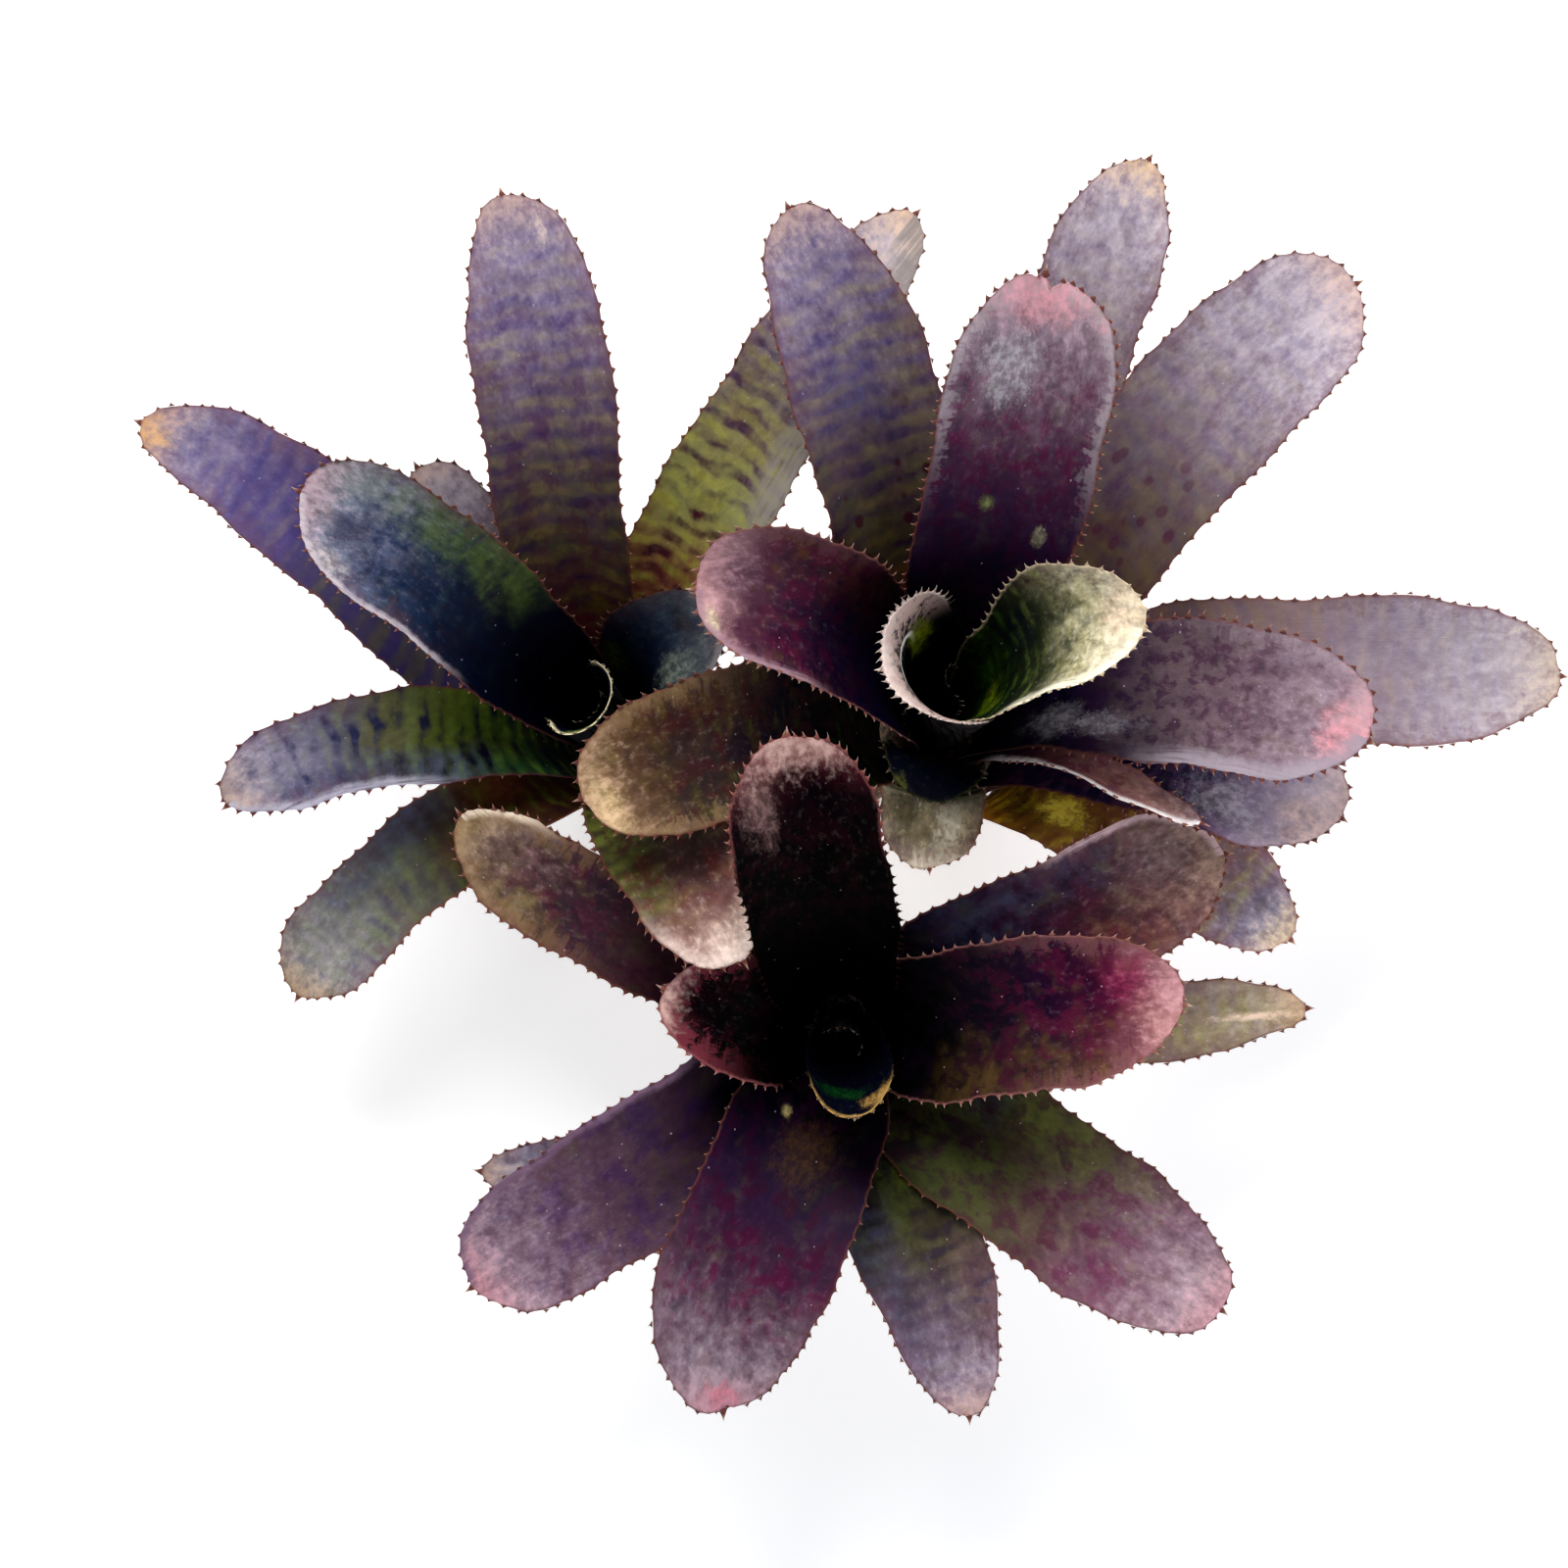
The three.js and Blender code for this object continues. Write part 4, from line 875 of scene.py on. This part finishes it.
class LeafPaint(Wires):
    """A leaf's material, laid coat over coat on the upper face, with its underside and thorns."""

    def __init__(self, name, row, tone):
        super().__init__(name)
        self.paint = {**COMMON, **PAINTS[row["paint"]], **row["touches"]}
        self.width = row["width"]
        self.level = self.paint["level"] * tone.brightness
        self.patterns = {}
        self.place = self.mark("blade_mm", "Vector")
        self.across = self.add("ShaderNodeSeparateXYZ", {0: self.place}, output=1)
        self.along = self.mark("along_mm")
        self.share = self.mark("share")
        self.edge = self.mark("edge_mm")
        self.thorn = self.mark("thorn")
        self.toward_tip = self.span(self.share, 0.4, 0.92)
        self.ripple = (self.pattern("cloud") - 0.5) * 2.0
        wander = (self.pattern("drift") - 0.5) * WANDER
        self.run = self.share + wander
        self.painted = self.shades(self.run, self.paint["ground"])
        if self.paint["mottles"]:
            self.lay_mottles()
        banding = self.banding()
        for side in self.paint["sides"]:
            self.lay_side(banding, *side)
        self.lay_bands(banding)
        self.lay_blotches()
        if self.paint["spots"]:
            self.lay_spots()
        self.lay_hem()
        if self.paint["crest"]:
            self.lay_crest(*self.paint["crest"])
        bloom = self.lay_bloom()
        for mark in self.paint["marks"]:
            self.lay_mark(*mark)
        self.lay_specks()
        self.lay_blush()
        self.lay_grit()
        self.lay_margin()
        self.lay_underside()
        self.lay_thorns()
        self.wire_surface(bloom, tone)

    def pattern(self, key):
        if key not in self.patterns:
            stretch, detail, roughness = PATTERNS[key]
            self.patterns[key] = self.noise(
                self.stretch(self.place, *stretch), detail=detail, roughness=roughness)
        return self.patterns[key]

    def colour(self, key):
        return tint(self.paint[key], self.level)

    def pair(self, key):
        return self.mix(self.toward_tip, *(tint(code, self.level) for code in self.paint[key]))

    def shades(self, value, stops):
        return self.ramp(value, [(at, tint(code, self.level)) for at, code in stops])

    def over(self, factor, top):
        """Lays a coat over what is painted so far."""
        self.painted = self.mix(factor, self.painted, top)

    def fade_out(self, end, reach, soft, top):
        """top below a share of the leaf's length, and nothing above it."""
        return self.span(self.share, end + reach, end - soft, top)

    def lay_mottles(self):
        limit = self.fade_out(self.paint["mottle_to"], 0.15, 0.1, self.paint["mottles"])
        field = self.span(self.pattern("mottles"), 0.44, 0.56)
        self.over(field * limit, self.pair("mottle"))

    def banding(self):
        """The field that the crossbands are cut from: broken streaks, with an even comb added."""
        warp = self.pattern("warp") * BAND_WARP
        phase = self.along * (2 * math.pi / BAND_STEP) + warp
        comb = self.maths("SINE", phase) * self.paint["band"]
        streaks = self.stretch(self.place, 0.2, 1 / self.paint["band_reach"], 8.0)
        broken = self.noise(streaks, detail=5, roughness=0.58)
        return broken * 0.75 + 0.125 + comb

    def lay_side(self, banding, sign, start, stop, code, strength):
        """A tint along one side of the leaf, from one share of its length to another."""
        aside = self.across * (sign / self.width) + self.ripple * 0.3
        within = self.span(self.share, start - 0.08, start + 0.06)
        within = within * self.span(self.share, stop + 0.08, stop - 0.06)
        cover = self.span(aside, 0, 0.34) * within
        cover = cover * self.span(banding, 0.75, 0.35, strength)
        self.over(cover, tint(code, self.level))

    def lay_bands(self, banding):
        fading = self.span(self.share, 1.08, 0.8)
        patches = self.pattern("patches")
        dark = self.span(banding, 0.47, 0.64) * self.span(patches, 0.68, 0.38, self.paint["dark_bands"])
        light = self.span(banding, 0.53, 0.36) * self.span(patches, 0.36, 0.6, self.paint["light_bands"])
        self.over(light * fading, self.pair("light"))
        self.over(dark * fading, self.pair("dark"))

    def lay_blotches(self):
        size = 1 / self.paint["blotch_size"]
        stretched = self.stretch(self.place, size, 1.15 * size, 3.0)
        blots = self.noise(stretched, detail=5, roughness=0.66, distortion=0.3)
        limit = self.fade_out(self.paint["blotch_to"], 0.1, 0.12, self.paint["blotches"])
        self.over(self.span(blots, 0.47, 0.6) * limit, self.pair("blotch"))

    def cells(self, along, across):
        """How far it is to the middle of a scattered cell, and a colour drawn for that cell."""
        values = {"Vector": self.stretch(self.place, along, across), "Scale": 1.0}
        away = self.add("ShaderNodeTexVoronoi", values, output="Distance")
        return away, Value(self, away.socket.node.outputs["Color"])

    def lay_spots(self):
        ragged = self.cells(0.15, 0.18)[0] + self.pattern("speckle") * 0.25
        limit = self.span(self.share, 0.75, 0.5, self.paint["spots"])
        dark = tint(self.paint["blotch"][0], self.level)
        self.over(self.span(ragged, 0.42, 0.3) * limit, dark)

    def lay_hem(self):
        """A tinted hem along the margin, frayed in strokes that point outward."""
        wide, start = self.paint["hem_width"], self.paint["hem_from"]
        outward = {0: self.mark("margin_mm") * 0.5, 1: self.edge * 0.09}
        outward = self.add("ShaderNodeCombineXYZ", outward)
        strokes = self.noise(outward, detail=4, roughness=0.6)
        fringe = (strokes + self.pattern("crumbs") - 1) * (3 * wide)
        ragged = self.edge + (fringe + self.ripple * 3)
        hem = self.span(ragged, wide, 0.3 * wide, self.paint["hem_share"])
        self.over(hem * self.span(self.share, start, start + 0.25), self.pair("hem"))

    def lay_crest(self, distance, half, code):
        """A thin painted highlight at a distance from the margin, where a broad cup leaf bends over."""
        ragged = self.edge + self.ripple * 0.6
        away = self.maths("ABSOLUTE", ragged - distance)
        line = self.span(away, half, 0.3 * half) * self.span(self.share, 0.6, 0.8)
        self.over(line, tint(code, self.level))

    def lay_bloom(self):
        """Pale scurf that thickens toward the tip, in clouds and crumbs."""
        bloom = self.span(self.run, self.paint["bloom_from"], 1.05) * self.paint["bloom"]
        clouds = self.span(self.pattern("cloud"), 0.38, 0.62, 1.0)
        crumbs = self.span(self.pattern("crumbs"), 0.36, 0.66, 0.7)
        bloom = bloom * (clouds + crumbs)
        self.over(self.maths("MINIMUM", bloom, 0.9), self.colour("scurf"))
        return bloom

    def lay_mark(self, at, aside, long, wide, code, strength):
        """One ragged patch of colour, with its place and its half sizes in millimetres."""
        ahead = (self.along - at) * (1 / long)
        beside = (self.across - aside) * (1 / wide)
        away = self.maths("SQRT", ahead * ahead + beside * beside)
        fray = (self.pattern("grain") - 0.5) * 1.5
        ragged = away + (self.ripple * 1.2 + fray)
        crumbled = self.span(self.pattern("crumbs"), 0.4, 0.6, 0.6 * strength)
        crumbled = crumbled + 0.4 * strength
        self.over(self.span(ragged, 1.45, 0.3) * crumbled, tint(code, self.level))

    def lay_specks(self):
        away, drawn = self.cells(0.36, 0.36)
        chance = self.add("ShaderNodeSeparateColor", {0: drawn})
        speck = self.span(away, 0.11, 0.06) * self.span(chance, 0.74, 0.8)
        self.over(speck * (self.paint["specks"] * 0.6), self.colour("scurf"))

    def lay_blush(self):
        crumbs = (self.pattern("crumbs") - 0.5) * 0.25
        tipward = self.share + (self.ripple * 0.06 + crumbs)
        self.over(self.span(tipward, 0.9, 1.03, self.paint["blush_share"]), self.colour("blush"))

    def lay_grit(self):
        """Dust of scurf, and a grain of light and dark over everything so far."""
        crumbs, grit = self.pattern("crumbs"), self.paint["grit"]
        dust = self.span(crumbs, 0.52, 0.7, 0.16 * grit) * self.span(self.run, 0.5, 0.9)
        self.over(dust, self.colour("scurf"))
        grained = crumbs + self.pattern("cloud") - 1
        shade = grained * (1.15 * grit) + 1.0
        self.painted = self.add("ShaderNodeVectorMath", {0: self.painted, "Scale": shade}, operation="SCALE")

    def lay_margin(self):
        """The thin rim, and the pale strip of a side that folds up: partly its paler underside turned up,
        partly a painted highlight where the fold catches the light.
        """
        ragged = self.edge + (self.pattern("grain") - 0.5) * 1.2
        # Where rim_from is set, the rim and the thorns' bright tints show only past it, as painted light, and
        # below it the thorns stay dull, as painted shade.
        self.lit = self.span(self.share, self.paint["rim_from"] - 0.12, self.paint["rim_from"])
        rim = self.span(ragged, self.paint["rim_width"], 0.0, self.paint["rim_share"])
        self.over(rim * self.lit, self.colour("rim"))
        # The pale strip is partly the paler underside turned up and partly a painted highlight on the fold.
        if self.paint["fold"]:
            wide, start = self.paint["fold_width"], self.paint["fold_from"]
            strip = self.span(ragged + self.ripple * (0.5 * wide), wide, 0.2 * wide)
            one_side = self.maths("GREATER_THAN", self.across * self.paint["fold"], 0.0)
            strip = strip * one_side
            strip = strip * self.span(self.pattern("streaks"), 0.2, 0.55)
            strip = strip * self.span(self.share, start, start + 0.15, 0.9)
            self.over(strip, self.colour("fold_tint"))

    def lay_underside(self):
        speckled = self.span(self.pattern("speckle"), 0.45, 0.6, 0.35)
        below = self.mix(speckled, self.colour("under"), self.pair("dark"))
        streaked = self.span(self.pattern("streaks"), 0.35, 0.7, self.paint["streaks"])
        below = self.mix(streaked, below, self.colour("scurf"))
        self.painted = self.mix(self.span(self.mark("upper_face"), 0.1, 0.5), below, self.painted)

    def lay_thorns(self):
        """Thorns from foot to point; where the rim isn't lit, they stay as dull as the underside."""
        spike = self.ramp(self.thorn, [
            (0.1, self.colour("rim")), (0.45, self.colour("thorn_tint")), (0.9, self.colour("thorn_tip"))])
        spike = self.mix(self.lit, self.colour("under"), spike)
        self.over(self.span(self.thorn, 0.02, 0.08), spike)

    def wire_surface(self, bloom, tone):
        """Roughness, gloss and the relief of veins and scurf."""
        grain, speckle = self.pattern("grain"), self.pattern("speckle")
        rough = bloom * 0.35 + grain * 0.14
        height = self.pattern("veins") * 0.6 + (grain * 0.8 + speckle * 0.8)
        self.feed(self.surface.inputs["Base Color"], self.painted)
        self.feed(self.surface.inputs["Roughness"], rough + tone.roughness)
        self.feed(self.surface.inputs["Normal"], self.bump(height, 0.16 * MM, 0.8))
        self.surface.inputs["Specular IOR Level"].default_value = self.paint["gloss"]


def bark_paint(name, tone):
    """Brown bark with dry fibres."""
    wires = Wires(name)
    place = wires.add("ShaderNodeTexCoord", output="Object")
    fibres = wires.noise(wires.stretch(place, *FIBRES), detail=5, roughness=0.7)
    patches = wires.noise(place, 120, 4, 0.6)
    painted = wires.ramp(fibres, [(0.3, tint("2a1a10")), (0.5, tuple(tone.bark)), (0.7, tint("a08560"))])
    painted = wires.mix(wires.span(patches, 0.5, 0.7, 0.5), painted, tint("3c3a22"))
    wires.feed(wires.surface.inputs["Base Color"], painted)
    wires.feed(wires.surface.inputs["Roughness"], wires.span(fibres, 0.2, 0.8, 0.95))
    wires.feed(wires.surface.inputs["Normal"], wires.bump(fibres, 0.5 * MM, 0.9))
    return wires.material


# ---- Rootstock ----

BARK_VOXEL = 0.9         # size of the bark's mesh before its relief, in millimetres
BARK_RELIEF = 0.8        # depth of the bark's fibres, in millimetres
GROUND_CLEAR = 0.4       # height over which the relief grows from nothing, in millimetres
BARK_GRAIN = (0.9, 0.9, 0.22)    # how fine the fibres of the relief are across and up, per millimetre
BARK_LUMPS = 0.16        # how fine the lumps under them are, per millimetre


def bark_object(name):
    """The rootstock's solid, remeshed finely and roughened into fibrous bark above its flat underside."""
    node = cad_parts["rootstock"]
    copy = put(name, node.data.copy())
    copy.data.materials.clear()
    remesh = copy.modifiers.new("Even mesh", "REMESH")
    remesh.mode = "VOXEL"
    remesh.voxel_size = BARK_VOXEL * MM
    evaluated = copy.evaluated_get(bpy.context.evaluated_depsgraph_get())
    mesh = bpy.data.meshes.new_from_object(evaluated)
    copy.modifiers.clear()
    copy.data = mesh
    mesh.name = name
    for vertex in mesh.vertices:
        at = vertex.co / MM
        lift = min(max(at.z / GROUND_CLEAR - 0.5, 0), 1)
        fibre = noise.noise(Vector([part * fine for part, fine in zip(at, BARK_GRAIN)]))
        lump = noise.noise(at * BARK_LUMPS)
        vertex.co += vertex.normal * MM * lift * BARK_RELIEF * (0.7 * fibre + 0.5 * lump - 0.25)
        vertex.co.z = max(vertex.co.z, 0)
    mesh.shade_smooth()
    return copy


# ---- Settings ----


class LeafShape(bpy.types.PropertyGroup):
    thickness: FloatProperty(
        name="Thickness", description="Thickness of a blade, in millimetres", default=0.8, min=0.4, max=2)
    thorn_spacing: FloatProperty(
        name="Thorn spacing", description="Distance between thorns, in millimetres", default=3.2, min=2,
        max=12)
    thorn_length: FloatProperty(
        name="Thorn length", description="Length of a thorn, in millimetres", default=1.25, min=0.3, max=3)
    ripple: FloatProperty(
        name="Ripple", description="Height of the margin's waves, in millimetres", default=0.35, min=0, max=1)
    rib: FloatProperty(
        name="Rib", description="Height of the lengthwise ribs, in millimetres", default=0.05, min=0, max=0.3)


class Tones(bpy.types.PropertyGroup):
    brightness: FloatProperty(
        name="Brightness", description="Brightness of all leaf colours", default=1.0, min=0.2, max=2,
        subtype="FACTOR")
    roughness: FloatProperty(
        name="Roughness", description="Roughness of a bare, waxy leaf", default=0.42, min=0, max=1,
        subtype="FACTOR")
    bark: FloatVectorProperty(
        name="Bark", description="Colour of the bark", default=tint("6b4a2f"), size=3, min=0, max=1,
        subtype="COLOR")


class StageSettings(bpy.types.PropertyGroup):
    floor_glow: FloatProperty(
        name="Floor glow", description="Light that the pale floor gives off by itself", default=0.45, min=0,
        max=2)
    key_power: FloatProperty(
        name="Key light", description="Power of the large soft light", default=14.0, min=0, max=100,
        unit="POWER")
    fill_power: FloatProperty(
        name="Fill light", description="Power of the light opposite", default=4.0, min=0, max=100,
        unit="POWER")
    sky: FloatProperty(
        name="Sky", description="Brightness of the surroundings", default=1.3, min=0, max=4)


# ---- Operators ----

SEEDS = 20               # seeds set aside for each rosette


class BROMELIAD_OT_rosette(bpy.types.Operator):
    """Build the leaves of one rosette"""
    bl_idname = "bromeliad.rosette"
    bl_label = "Rosette"

    place: EnumProperty(
        name="Place", description="Which rosette of the clump",
        items=[(key, key.title(), "The rosette at the " + key) for key in ROSETTES])

    def execute(self, context):
        rosette = ROSETTES[self.place]
        settings = context.scene
        start = 1 + SEEDS * list(ROSETTES).index(self.place)
        for number, row in enumerate(rosette["leaves"]):
            node = f"{self.place}_{row['name']}_leaf"
            name = node.replace("_leaf", "_blade")
            piece = leaf_object(
                name, row, rosette["lean"], rosette["foot"], settings.leaf_shape, start + number)
            piece.data.materials.append(LeafPaint(node, row, settings.tones).material)
            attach(piece, "root")
            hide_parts(node)
        return {"FINISHED"}


class BROMELIAD_OT_rootstock(bpy.types.Operator):
    """Build the creeping rootstock with its fibrous bark"""
    bl_idname = "bromeliad.rootstock"
    bl_label = "Rootstock"

    def execute(self, context):
        piece = bark_object("rootstock_bark")
        piece.data.materials.append(bark_paint("bark", context.scene.tones))
        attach(piece, "root")
        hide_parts("rootstock")
        return {"FINISHED"}


FLOOR_SIZE = 8.0                              # metres
CAMERA_PLACE = (-0.0024, 0.012, 0.98)         # straight above the clump, in metres
CAMERA_LENS = 84.375                          # millimetres, on a sensor 36 mm wide
LIGHT_SIZE = 0.7                              # metres
LIGHTS = {                                    # place in metres, and colour
    "key": ((-0.2, 0.85, 0.8), (1, 0.98, 0.95)),
    "fill": ((0.75, -0.45, 0.6), (0.93, 0.95, 1)),
}
SKY_FADE = {0.15: (0.9, 0.93, 1, 1), 0.85: (0.03, 0.03, 0.035, 1)}     # from the lower side to the upper


def area_light(name, power):
    place, colour = LIGHTS[name]
    data = bpy.data.lights.new(name, "AREA")
    data.shape = "DISK"
    data.size = LIGHT_SIZE
    data.energy = power
    data.color = colour
    lamp = put(name, data)
    lamp.location = place
    lamp.rotation_euler = (-Vector(place)).to_track_quat("-Z", "Y").to_euler()


def surroundings(strength):
    """A plain soft sky, bright up to the horizon and fading to nearly dark overhead."""
    world = bpy.data.worlds.new("surroundings")
    world.use_nodes = True
    tree = world.node_tree
    ways = tree.nodes.new("ShaderNodeTexCoord")
    parts = tree.nodes.new("ShaderNodeSeparateXYZ")
    fade = tree.nodes.new("ShaderNodeValToRGB")
    for element, (position, colour) in zip(fade.color_ramp.elements, SKY_FADE.items()):
        element.position = position
        element.color = colour
    tree.links.new(ways.outputs["Generated"], parts.inputs[0])
    tree.links.new(parts.outputs[2], fade.inputs[0])
    background = tree.nodes["Background"]
    tree.links.new(fade.outputs[0], background.inputs["Color"])
    background.inputs["Strength"].default_value = strength
    return world


class BROMELIAD_OT_stage(bpy.types.Operator):
    """Set up the pale floor, the soft lights and the camera"""
    bl_idname = "bromeliad.stage"
    bl_label = "Stage"

    def execute(self, context):
        scene = context.scene
        settings = scene.stage_settings
        half = FLOOR_SIZE / 2
        mesh = bpy.data.meshes.new("floor")
        corners = [(-half, -half, 0), (half, -half, 0), (half, half, 0), (-half, half, 0)]
        mesh.from_pydata(corners, [], [(0, 1, 2, 3)])
        floor = put("floor", mesh)
        wires = Wires("pale_floor")
        wires.surface.inputs["Base Color"].default_value = (0.85, 0.85, 0.84, 1)
        wires.surface.inputs["Roughness"].default_value = 0.9
        wires.surface.inputs["Specular IOR Level"].default_value = 0.1
        wires.surface.inputs["Emission Color"].default_value = (1, 1, 1, 1)
        wires.surface.inputs["Emission Strength"].default_value = settings.floor_glow
        floor.data.materials.append(wires.material)
        area_light("key", settings.key_power)
        area_light("fill", settings.fill_power)
        scene.world = surroundings(settings.sky)
        data = bpy.data.cameras.new("camera")
        data.lens = CAMERA_LENS
        data.clip_start = 0.01
        scene.camera = put("camera", data)
        scene.camera.location = CAMERA_PLACE
        scene.view_settings.view_transform = "Standard"
        return {"FINISHED"}


class BROMELIAD_PT_panel(bpy.types.Panel):
    bl_label = "Neoregelia clump"
    bl_idname = "BROMELIAD_PT_panel"
    bl_space_type = "VIEW_3D"
    bl_region_type = "UI"
    bl_category = "Bromeliad"

    def draw(self, context):
        layout = self.layout
        for group in GROUPS:
            box = layout.box()
            settings = getattr(context.scene, group)
            for key in settings.__annotations__:
                box.prop(settings, key)
        layout.operator("bromeliad.rootstock")
        for place in ROSETTES:
            layout.operator("bromeliad.rosette", text=place.title() + " rosette").place = place
        layout.operator("bromeliad.stage")


GROUPS = {"leaf_shape": LeafShape, "tones": Tones, "stage_settings": StageSettings}
CLASSES = (
    *GROUPS.values(), BROMELIAD_OT_rootstock, BROMELIAD_OT_rosette, BROMELIAD_OT_stage, BROMELIAD_PT_panel)


def register():
    for kind in CLASSES:
        bpy.utils.register_class(kind)
    for name, kind in GROUPS.items():
        setattr(bpy.types.Scene, name, PointerProperty(type=kind))


def unregister():
    for name in GROUPS:
        delattr(bpy.types.Scene, name)
    for kind in reversed(CLASSES):
        bpy.utils.unregister_class(kind)


def main():
    register()
    bpy.ops.bromeliad.rootstock()
    for place in ROSETTES:
        bpy.ops.bromeliad.rosette(place=place)
    bpy.ops.bromeliad.stage()


if __name__ == "__main__":
    main()
